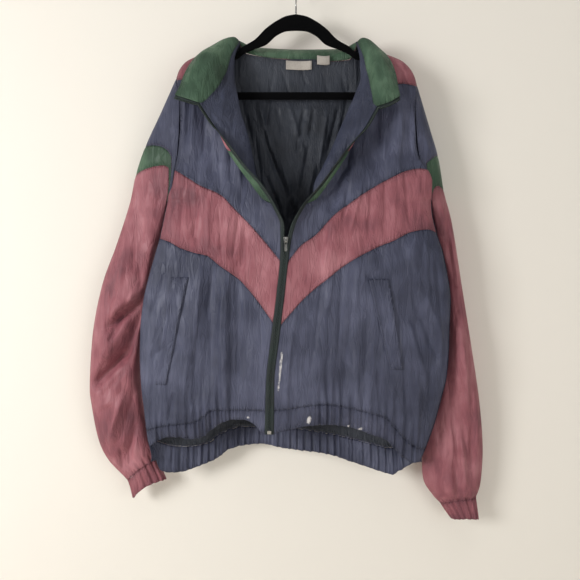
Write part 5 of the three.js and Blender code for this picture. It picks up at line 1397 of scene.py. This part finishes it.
@dataclass
class ZipFastener:
    """The zip: tapes, the closed coil, the open coil along both lapels, and the CAD's metal parts."""

    finishes: Finishes
    collar: CollarForm
    tape_width: float = 7.0
    bottom_z: float = -856
    slider_z: float = -505
    pitch: float = 2.4
    collar_from: float = 0.8

    def tape_frame(self, side: Side, along: Array) -> tuple[Array, Array, Array]:
        """The edge that the tape is sewn to, its outward direction and its width at each place.

        Args:
            side: which tape.
            along: 0 at the bottom stop to 1 at the collar's top.

        Returns:
            Points, unit directions and widths.
        """
        front = self.collar.fronts[side]
        end, inward = (0.0, 0.03) if side is Side.LEFT else (1.0, 0.97)
        unit = lambda v: v / np.linalg.norm(v, axis=-1, keepdims=True)
        height = np.clip((along - self.collar_from) / (1 - self.collar_from), 0, 1)
        rim = self.collar.shell(np.full_like(height, end), height)
        rim_out = unit(rim - self.collar.shell(np.full_like(height, inward), height))
        top_z = float(front.neck_top(np.array([0.0]))[0])
        z = mix(self.bottom_z, top_z, np.clip(along / self.collar_from, 0, 1))
        edge = front.shell(np.zeros_like(z), z)
        free = unit(edge - front.shell(np.full_like(z, 0.02), z))
        gap = np.abs(EDGE[Side.RIGHT].read("zipX", z) - EDGE[Side.LEFT].read("zipX", z)) / 2 - 0.1
        opened = smooth_step(z, self.slider_z, self.slider_z + 50)[:, None]
        out = unit(mix(np.array([-side.sign, 0.0, 0.0]), free, opened))
        near = smooth_step(z, top_z - 30, top_z)[:, None]
        out = unit(mix(out, rim_out[:1] * 0 + rim_out[0], near))
        edge = mix(edge, rim[:1] * 0 + rim[0], near)
        on_collar = (along > self.collar_from)[:, None]
        width = np.where(along > self.collar_from, self.tape_width, np.minimum(self.tape_width, gap))
        return np.where(on_collar, rim, edge), np.where(on_collar, rim_out, out), width

    def tape(self, side: Side) -> tuple[Array, Array]:
        """One tape, and its grid of points and normals for the coil to lie on."""
        along = np.linspace(0, 0.996, 240)
        edge, out, width = self.tape_frame(side, along)
        across = np.array([-0.04, 0.3, 0.65, 1.0])
        points = edge[:, None] + out[:, None] * (across[None, :, None] * width[:, None, None])
        flip = side is Side.LEFT
        node = f"zip_tape_{side.value}"
        ClothPiece(f"{node}_woven", node, "zip_tape", points, self.finishes.tape,
                   f"front_upper_{side.value}_cloth", flip=not flip, thickness=0.7, dip=0,
                   least_cut=14).build()
        return points, normals_of(points)

    def teeth(self, centres: Array, out: Array, normal: Array, half: float, lift: float) -> Array:
        """Rounded teeth across a line.

        Args:
            centres: points of the line, one for each tooth.
            out: the tooth's own direction.
            normal: the outward normal.
            half: half of the tooth's length.
            lift: the tooth's height.

        Returns:
            Eight corners for each tooth: a block whose top is narrower than its foot.
        """
        along = np.cross(normal, out)
        long, high = out * half, normal * lift
        wide = along * self.pitch * 0.36
        foot = [centres + s * long + t * wide for s, t in ((-1, -1), (1, -1), (1, 1), (-1, 1))]
        head = [centres + s * long * 0.75 + t * wide * 0.5 + high for s, t in ((-1, -1), (1, -1), (1, 1), (-1, 1))]
        return np.stack(foot + head, 1)

    def coil(self, name: str, blocks: list[Array], node: str | None) -> None:
        """Puts rows of teeth into one object."""
        corners = np.concatenate([b.reshape(-1, 3) for b in blocks])
        box = np.array([(0, 3, 2, 1), (4, 5, 6, 7), (0, 1, 5, 4), (1, 2, 6, 5), (2, 3, 7, 6), (3, 0, 4, 7)])
        faces = (box[None] + 8 * np.arange(len(corners) // 8)[:, None, None]).reshape(-1, 4)
        log.info("%s: %d teeth", name, len(corners) // 8)
        obj = build_object(name, corners, faces)
        obj.data.materials.append(self.finishes.coil)
        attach(obj, BODY)
        if node:
            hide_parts(node)

    def build(self) -> None:
        """Makes tapes and coils, and gives the metal parts their finish."""
        for side in Side:
            self.tape(side)
            along = np.linspace(0.47, 0.985, 420)
            edge, out, width = self.tape_frame(side, along)
            run = np.concatenate([[0], np.cumsum(np.linalg.norm(np.diff(edge, axis=0), axis=-1))])
            at = np.arange(2, run[-1] - 1, self.pitch)
            pick = lambda values: np.stack([np.interp(at, run, values[:, k]) for k in range(3)], -1)
            centres = pick(edge + out * (width * 0.8)[:, None])
            step = np.gradient(centres, axis=0)
            normal = np.cross(step, pick(out)) * (1 if side is Side.LEFT else -1)
            normal /= np.linalg.norm(normal, axis=-1, keepdims=True)
            normal *= np.sign(-normal[:, 1:2])
            keep = centres[:, 2] > self.slider_z + 7
            block = self.teeth(centres[keep], pick(out)[keep], normal[keep], 1.4, 1.5)
            self.coil(f"zip_open_coil_{side.value}", [block], None)
        z = np.arange(self.bottom_z + 9, self.slider_z - 7, self.pitch)
        middle = (EDGE[Side.LEFT].read("zipX", z) + EDGE[Side.RIGHT].read("zipX", z)) / 2
        centres = np.stack([middle, EDGE[Side.LEFT].read("zipY", z) - 0.3, z], -1)
        shift = np.where(np.arange(len(z)) % 2 == 0, 0.7, -0.7)
        out = np.tile([1.0, 0.0, 0.0], (len(z), 1))
        normal = np.tile([0.0, -1.0, 0.0], (len(z), 1))
        closed = self.teeth(centres + out * shift[:, None], out, normal, 1.9, 1.7)
        self.coil("zip_closed_coil", [closed], "zip_chain")
        for node in ("zip_slider", "zip_pull_tab", "zip_bottom_stop", "zip_top_stop_left", "zip_top_stop_right"):
            wear_finish(node, self.finishes.metal)


def wear_finish(node: str, material: bpy.types.Material) -> None:
    """Gives a CAD node its finish."""
    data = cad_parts[node].data
    data.materials.clear()
    data.materials.append(material)


# Top and bottom corners of each pocket's welt: two places across and the height
WELT_CORNERS = {
    Side.LEFT: ((-225, -194, -571), (-256, -236, -766)),
    Side.RIGHT: ((129, 166, -574), (169, 193, -738)),
}


@dataclass
class Pockets:
    """The slanted welts of both pockets, laid on the fronts."""

    finishes: Finishes
    forms: dict[Side, FrontForm]

    def place(self, side: Side, u: Array, v: Array) -> Array:
        """A point of the welt: across u and down v from its top corners to its bottom ones."""
        top, bottom = WELT_CORNERS[side]
        z = mix(top[2], bottom[2], v)
        x = mix(mix(top[0], top[1], u), mix(bottom[0], bottom[1], u), v)
        roll = EDGE[side].read("rollX", z)
        share = mix(ROLL, 1, (x - roll) / (SIDE_LINE[side].read("x", z) - roll))
        return self.forms[side].shell(share, z)

    def build(self) -> None:
        """Makes both welts and the stitching round them."""
        for side in Side:
            u, v = np.meshgrid(np.linspace(0, 1, 12), np.linspace(0, 1, 56))
            points = self.place(side, u, v)
            # The opening runs along the welt's outer edge, where it stands a little off the panel
            open_edge = u if side is Side.RIGHT else 1 - u
            points[..., 1] -= 1.6 + 1.8 * smooth_step(open_edge, 0.6, 1.0) * np.sin(np.pi * v)
            node = f"pocket_welt_{side.value}"
            ClothPiece(f"{node}_cloth", node, "navy_nylon", points, self.finishes.navy,
                       f"front_lower_{side.value}_cloth", flip=False, dip=-0.2).build()
            t = np.linspace(0, 1, 60)
            lines = []
            for inset in (0.08, 0.92):
                strip = [self.place(side, np.full_like(t, inset + d), t) for d in (-0.02, 0, 0.02)]
                spine = np.stack(strip)
                spine[..., 1] -= 1.9
                lines.append((spine[1], np.tile([0.0, -1.0, 0.0], (len(t), 1))))
            stitches(f"pocket_stitching_{side.value}", lines, self.finishes.navy_thread)


@dataclass
class Labels:
    """The two blank woven labels at the back of the neck."""

    finishes: Finishes
    form: BackForm

    def build(self) -> None:
        """Makes both labels, hanging from the neck seam in front of the lining."""
        sizes = {"label_main": ((-19, 30), (-158, -175)), "label_care": ((40, 64), (-149, -166))}
        for node, ((left, right), (top, bottom)) in sizes.items():
            u, v = np.meshgrid(np.linspace(0, 1, 14), np.linspace(0, 1, 10))
            z = mix(top, bottom, v) - 1.5 * np.sin(3 * u)
            x = mix(left, right, u)
            reach = (self.form.x_at(1, z) - self.form.x_at(-1, z)) / 2
            points = self.form.lining((x - self.form.x_at(0, z)) / reach, z)
            points[..., 1] = points[..., 1].mean() - 2.6 - 1.2 * np.sin(np.pi * v) - 0.6 * np.sin(5 * u)
            ClothPiece(f"{node}_ribbon", node, "label_cloth", points, self.finishes.label, "lining_back_cloth",
                       thickness=0.5, dip=0).build()


# The arms' outline, by the distance from the middle
ARM_OUTLINE = Table("x top bottom", [
    (0, -74, -105), (17, -77, -106), (36, -86, -114), (57, -101, -132), (78, -122, -140), (100, -135, -150),
    (112, -145, -159), (124, -147, -161), (134, -148, -163), (162, -154, -169), (190, -162, -180),
    (205, -172, -192.4), (212, -182, -192.4),
])


@dataclass
class Hanger:
    """The flat flocked hanger: arms, bar and wire hook."""

    finishes: Finishes
    half_thickness: float = 2.5
    reach: float = 212

    def rounded(self, centre: Array, high: Array, half: float, turns: int = 20) -> Array:
        """A rounded oblong section at each place of a path.

        Args:
            centre: the path's points.
            high: half of the section's height as a vector at each point.
            half: half of the section's thickness along Y.
            turns: points round the section.

        Returns:
            A grid of points: one row for each place, a superellipse of power 4 in each.
        """
        angle = np.linspace(0, 2 * np.pi, turns, endpoint=False)
        c, s = np.cos(angle), np.sin(angle)
        norm = (np.abs(c) ** 4 + np.abs(s) ** 4) ** -0.25
        up, out = s * norm, c * norm
        thick = np.array([0, half, 0])
        return centre[:, None] + high[:, None] * up[None, :, None] + thick * out[None, :, None]

    def tube(self, name: str, node: str, slot: str, points: Array, material: bpy.types.Material) -> None:
        """A closed tube of section rows with both ends capped, standing for its node."""
        rows, turns = points.shape[:2]
        side = grid_faces(rows, turns, closed=True)
        tips = np.stack([points[0].mean(0), points[-1].mean(0)])
        first, last = rows * turns, rows * turns + 1
        k = np.arange(turns)
        obj_points = np.concatenate([points.reshape(-1, 3), tips])
        quads = side.tolist()
        near = np.stack([np.full(turns, first), (k + 1) % turns, k], -1).tolist()
        base = (rows - 1) * turns
        far = np.stack([np.full(turns, last), base + k, base + (k + 1) % turns], -1).tolist()
        mesh = bpy.data.meshes.new(name)
        mesh.from_pydata((obj_points * MM).tolist(), [], quads + near + far)
        mesh.polygons.foreach_set("use_smooth", np.ones(len(mesh.polygons), dtype=bool))
        mesh.update()
        obj = bpy.data.objects.new(name, mesh)
        bpy.context.collection.objects.link(obj)
        obj.data.materials.append(material)
        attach(obj, BODY)
        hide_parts(node)
        log.info("%s: %d sections", name, rows)

    def build(self) -> None:
        """Makes the arms, the bar and the hook."""
        x = self.reach * np.sin(np.linspace(-np.pi / 2, np.pi / 2, 140))
        top, bottom = ARM_OUTLINE.read("top", np.abs(x)), ARM_OUTLINE.read("bottom", np.abs(x))
        under = np.where(x < 0, SHOULDER_LINE[Side.LEFT].read("z", x), SHOULDER_LINE[Side.RIGHT].read("z", x)) - 3.9
        top = np.where(np.abs(x) > 96, np.minimum(top, under), top)
        tip = np.clip((self.reach - np.abs(x)) / 3, 0.15, 1) ** 0.5
        centre = np.stack([x, np.zeros_like(x), (top + bottom) / 2], -1)
        high = np.stack([np.zeros_like(x), np.zeros_like(x), (top - bottom) / 2], -1)
        arms = self.rounded(centre, high, self.half_thickness)
        arms[..., 1] *= tip[:, None]
        self.tube("hanger_arms_velvet", "hanger_arms", "hanger_velvet", arms, self.finishes.velvet)
        outer, inner, bar_z = 29.0, 15.0, -228.0
        middle = (outer + inner) / 2
        bend_x, bend_z = self.reach - outer, bar_z - 7 + outer
        turn = np.linspace(0, np.pi / 2, 12)
        left = np.stack([-bend_x - middle * np.cos(turn), bend_z - middle * np.sin(turn)], -1)
        right = np.stack([bend_x + middle * np.sin(turn), bend_z - middle * np.cos(turn)], -1)
        start, end = [[-bend_x - middle, -192.7]], [[bend_x + middle, -192.7]]
        flat = np.stack([np.linspace(-bend_x, bend_x, 40)[1:-1], np.full(38, bend_z - middle)], -1)
        path = np.concatenate([start, left, flat, right, end])
        centre = np.stack([path[:, 0], np.zeros(len(path)), path[:, 1]], -1)
        step = np.gradient(centre, axis=0)
        step /= np.linalg.norm(step, axis=-1, keepdims=True)
        high = np.cross(step, [0, -1, 0]) * 7
        self.tube("hanger_bar_velvet", "hanger_bar", "hanger_velvet",
                  self.rounded(centre, high, self.half_thickness), self.finishes.velvet)
        self.hook()

    def hook(self, inside: float = 22, wire: float = 3.2) -> None:
        """The hook: a wire up from the arms that turns over towards the wall.

        Args:
            inside: the crown's inner radius.
            wire: the wire's diameter.
        """
        radius = inside + wire / 2
        angle = np.pi * np.linspace(1.08, -0.22, 15)
        knots = np.concatenate([
            [(0, 0, -73.7), (0, 0, -58), (0, -8, -48)],
            np.stack([np.zeros(15), radius * np.cos(angle), -inside + radius * np.sin(angle)], -1),
        ])
        t = np.linspace(0, len(knots) - 1, 120)
        i = np.clip(np.floor(t).astype(int), 0, len(knots) - 2)
        f = (t - i)[:, None]
        pick = lambda k: knots[np.clip(k, 0, len(knots) - 1)]
        a, b, c, d = pick(i - 1), pick(i), pick(i + 1), pick(i + 2)
        path = 0.5 * (2 * b + (c - a) * f + (2 * a - 5 * b + 4 * c - d) * f**2 + (3 * b - a - 3 * c + d) * f**3)
        step = np.gradient(path, axis=0)
        step /= np.linalg.norm(step, axis=-1, keepdims=True)
        aside = np.tile([1.0, 0.0, 0.0], (len(path), 1))
        up = np.cross(step, aside)
        turn = np.linspace(0, 2 * np.pi, 16, endpoint=False)
        ring = aside[:, None] * np.cos(turn)[None, :, None] + up[:, None] * np.sin(turn)[None, :, None]
        self.tube("hanger_hook_wire", "hanger_hook", "hook_wire", path[:, None] + ring * wire / 2, self.finishes.wire)


@dataclass
class Studio:
    """A pale wall and floor, soft lights and the camera at the photograph's angle."""

    camera_mm: tuple[float, float, float] = (-11.3, -1170.0, -594.0)
    half_frame_mm: float = 547.0
    wall_y: float = 0.058
    floor_z: float = -1.32

    def camera(self) -> None:
        """The camera, level and square to the wall."""
        data = bpy.data.cameras.new("camera")
        data.sensor_width = 36.0
        data.lens = 18.0 * -self.camera_mm[1] / self.half_frame_mm
        obj = bpy.data.objects.new("camera", data)
        obj.location = [v * MM for v in self.camera_mm]
        obj.rotation_euler = (np.pi / 2, 0, 0)
        bpy.context.collection.objects.link(obj)
        bpy.context.scene.camera = obj

    def pale(self, name: str, colour: str, one_sided: bool) -> bpy.types.Material:
        """A matt paint; the wall's lets light and sight through from behind, so the back can be seen."""
        material, tree, output = new_material(name)
        matt = add_node(tree, "ShaderNodeBsdfDiffuse", {"Color": linear(colour)})
        if not one_sided:
            tree.links.new(matt.outputs[0], output.inputs["Surface"])
            return material
        behind = add_node(tree, "ShaderNodeNewGeometry").outputs["Backfacing"]
        shadow = add_node(tree, "ShaderNodeLightPath").outputs["Is Shadow Ray"]
        either = add_node(tree, "ShaderNodeMath", {0: behind, 1: shadow}, operation="MAXIMUM")
        clear = add_node(tree, "ShaderNodeBsdfTransparent")
        both = add_node(tree, "ShaderNodeMixShader", {
            0: either.outputs[0], 1: matt.outputs[0], 2: clear.outputs[0]})
        tree.links.new(both.outputs[0], output.inputs["Surface"])
        return material

    def stage(self) -> None:
        """The wall just behind the jacket, and the floor below it."""
        sheets = {
            "wall": ([(-4, self.wall_y, -1.32), (4, self.wall_y, -1.32), (4, self.wall_y, 2.5), (-4, self.wall_y, 2.5)],
                     True),
            "floor": ([(-6, -6, self.floor_z), (6, -6, self.floor_z), (6, 6, self.floor_z), (-6, 6, self.floor_z)],
                      False),
        }
        for name, (corners, one_sided) in sheets.items():
            obj = build_object(f"pale_{name}", np.array(corners) * 1000, np.array([(0, 1, 2, 3)]))
            obj.data.materials.append(self.pale(f"pale_{name}_paint", "#e6e1d8", one_sided))

    def light(self, name: str, place: tuple[float, float, float], aim: tuple[float, float, float],
              size: float, power: float) -> None:
        """A square soft light at a place, turned towards its aim."""
        data = bpy.data.lights.new(name, "AREA")
        data.size, data.energy = size, power
        obj = bpy.data.objects.new(name, data)
        obj.location = place
        obj.rotation_euler = (Vector(aim) - Vector(place)).to_track_quat("-Z", "Y").to_euler()
        bpy.context.collection.objects.link(obj)

    def build(self) -> None:
        """Makes the camera, stage, lights and a pale surrounding."""
        self.camera()
        self.stage()
        middle = (0.0, 0.0, -0.55)
        self.light("key", (-1.7, -1.5, -0.35), middle, 0.8, 37)
        self.light("fill", (1.3, -2.1, -0.65), middle, 1.4, 14)
        self.light("top", (0.3, -1.0, 1.2), middle, 1.2, 5)
        self.light("behind", (0.9, 2.2, 0.5), middle, 1.6, 32)
        world = bpy.data.worlds.new("pale_surroundings")
        world.use_nodes = True
        world.node_tree.nodes["Background"].inputs["Color"].default_value = linear("#f2f0ec")
        world.node_tree.nodes["Background"].inputs["Strength"].default_value = 0.3
        bpy.context.scene.world = world
        bpy.context.scene.view_settings.view_transform = "Standard"


def main() -> None:
    """Builds every class in order."""
    logging.basicConfig(level=logging.INFO, format="%(name)s: %(message)s")
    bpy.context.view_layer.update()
    Studio().build()
    finishes = Finishes.make()
    fronts = {side: FrontForm(side) for side in Side}
    back = BackForm()
    collar = CollarForm(fronts)
    Hanger(finishes).build()
    Fronts(finishes, fronts).build()
    Backs(finishes, back).build()
    for side in Side:
        Sleeve(finishes, SleeveForm(side)).build()
    Collar(finishes, collar).build()
    ZipFastener(finishes, collar).build()
    Pockets(finishes, fronts).build()
    Labels(finishes, back).build()
    bpy.context.view_layer.update()


if __name__ == "__main__":
    main()
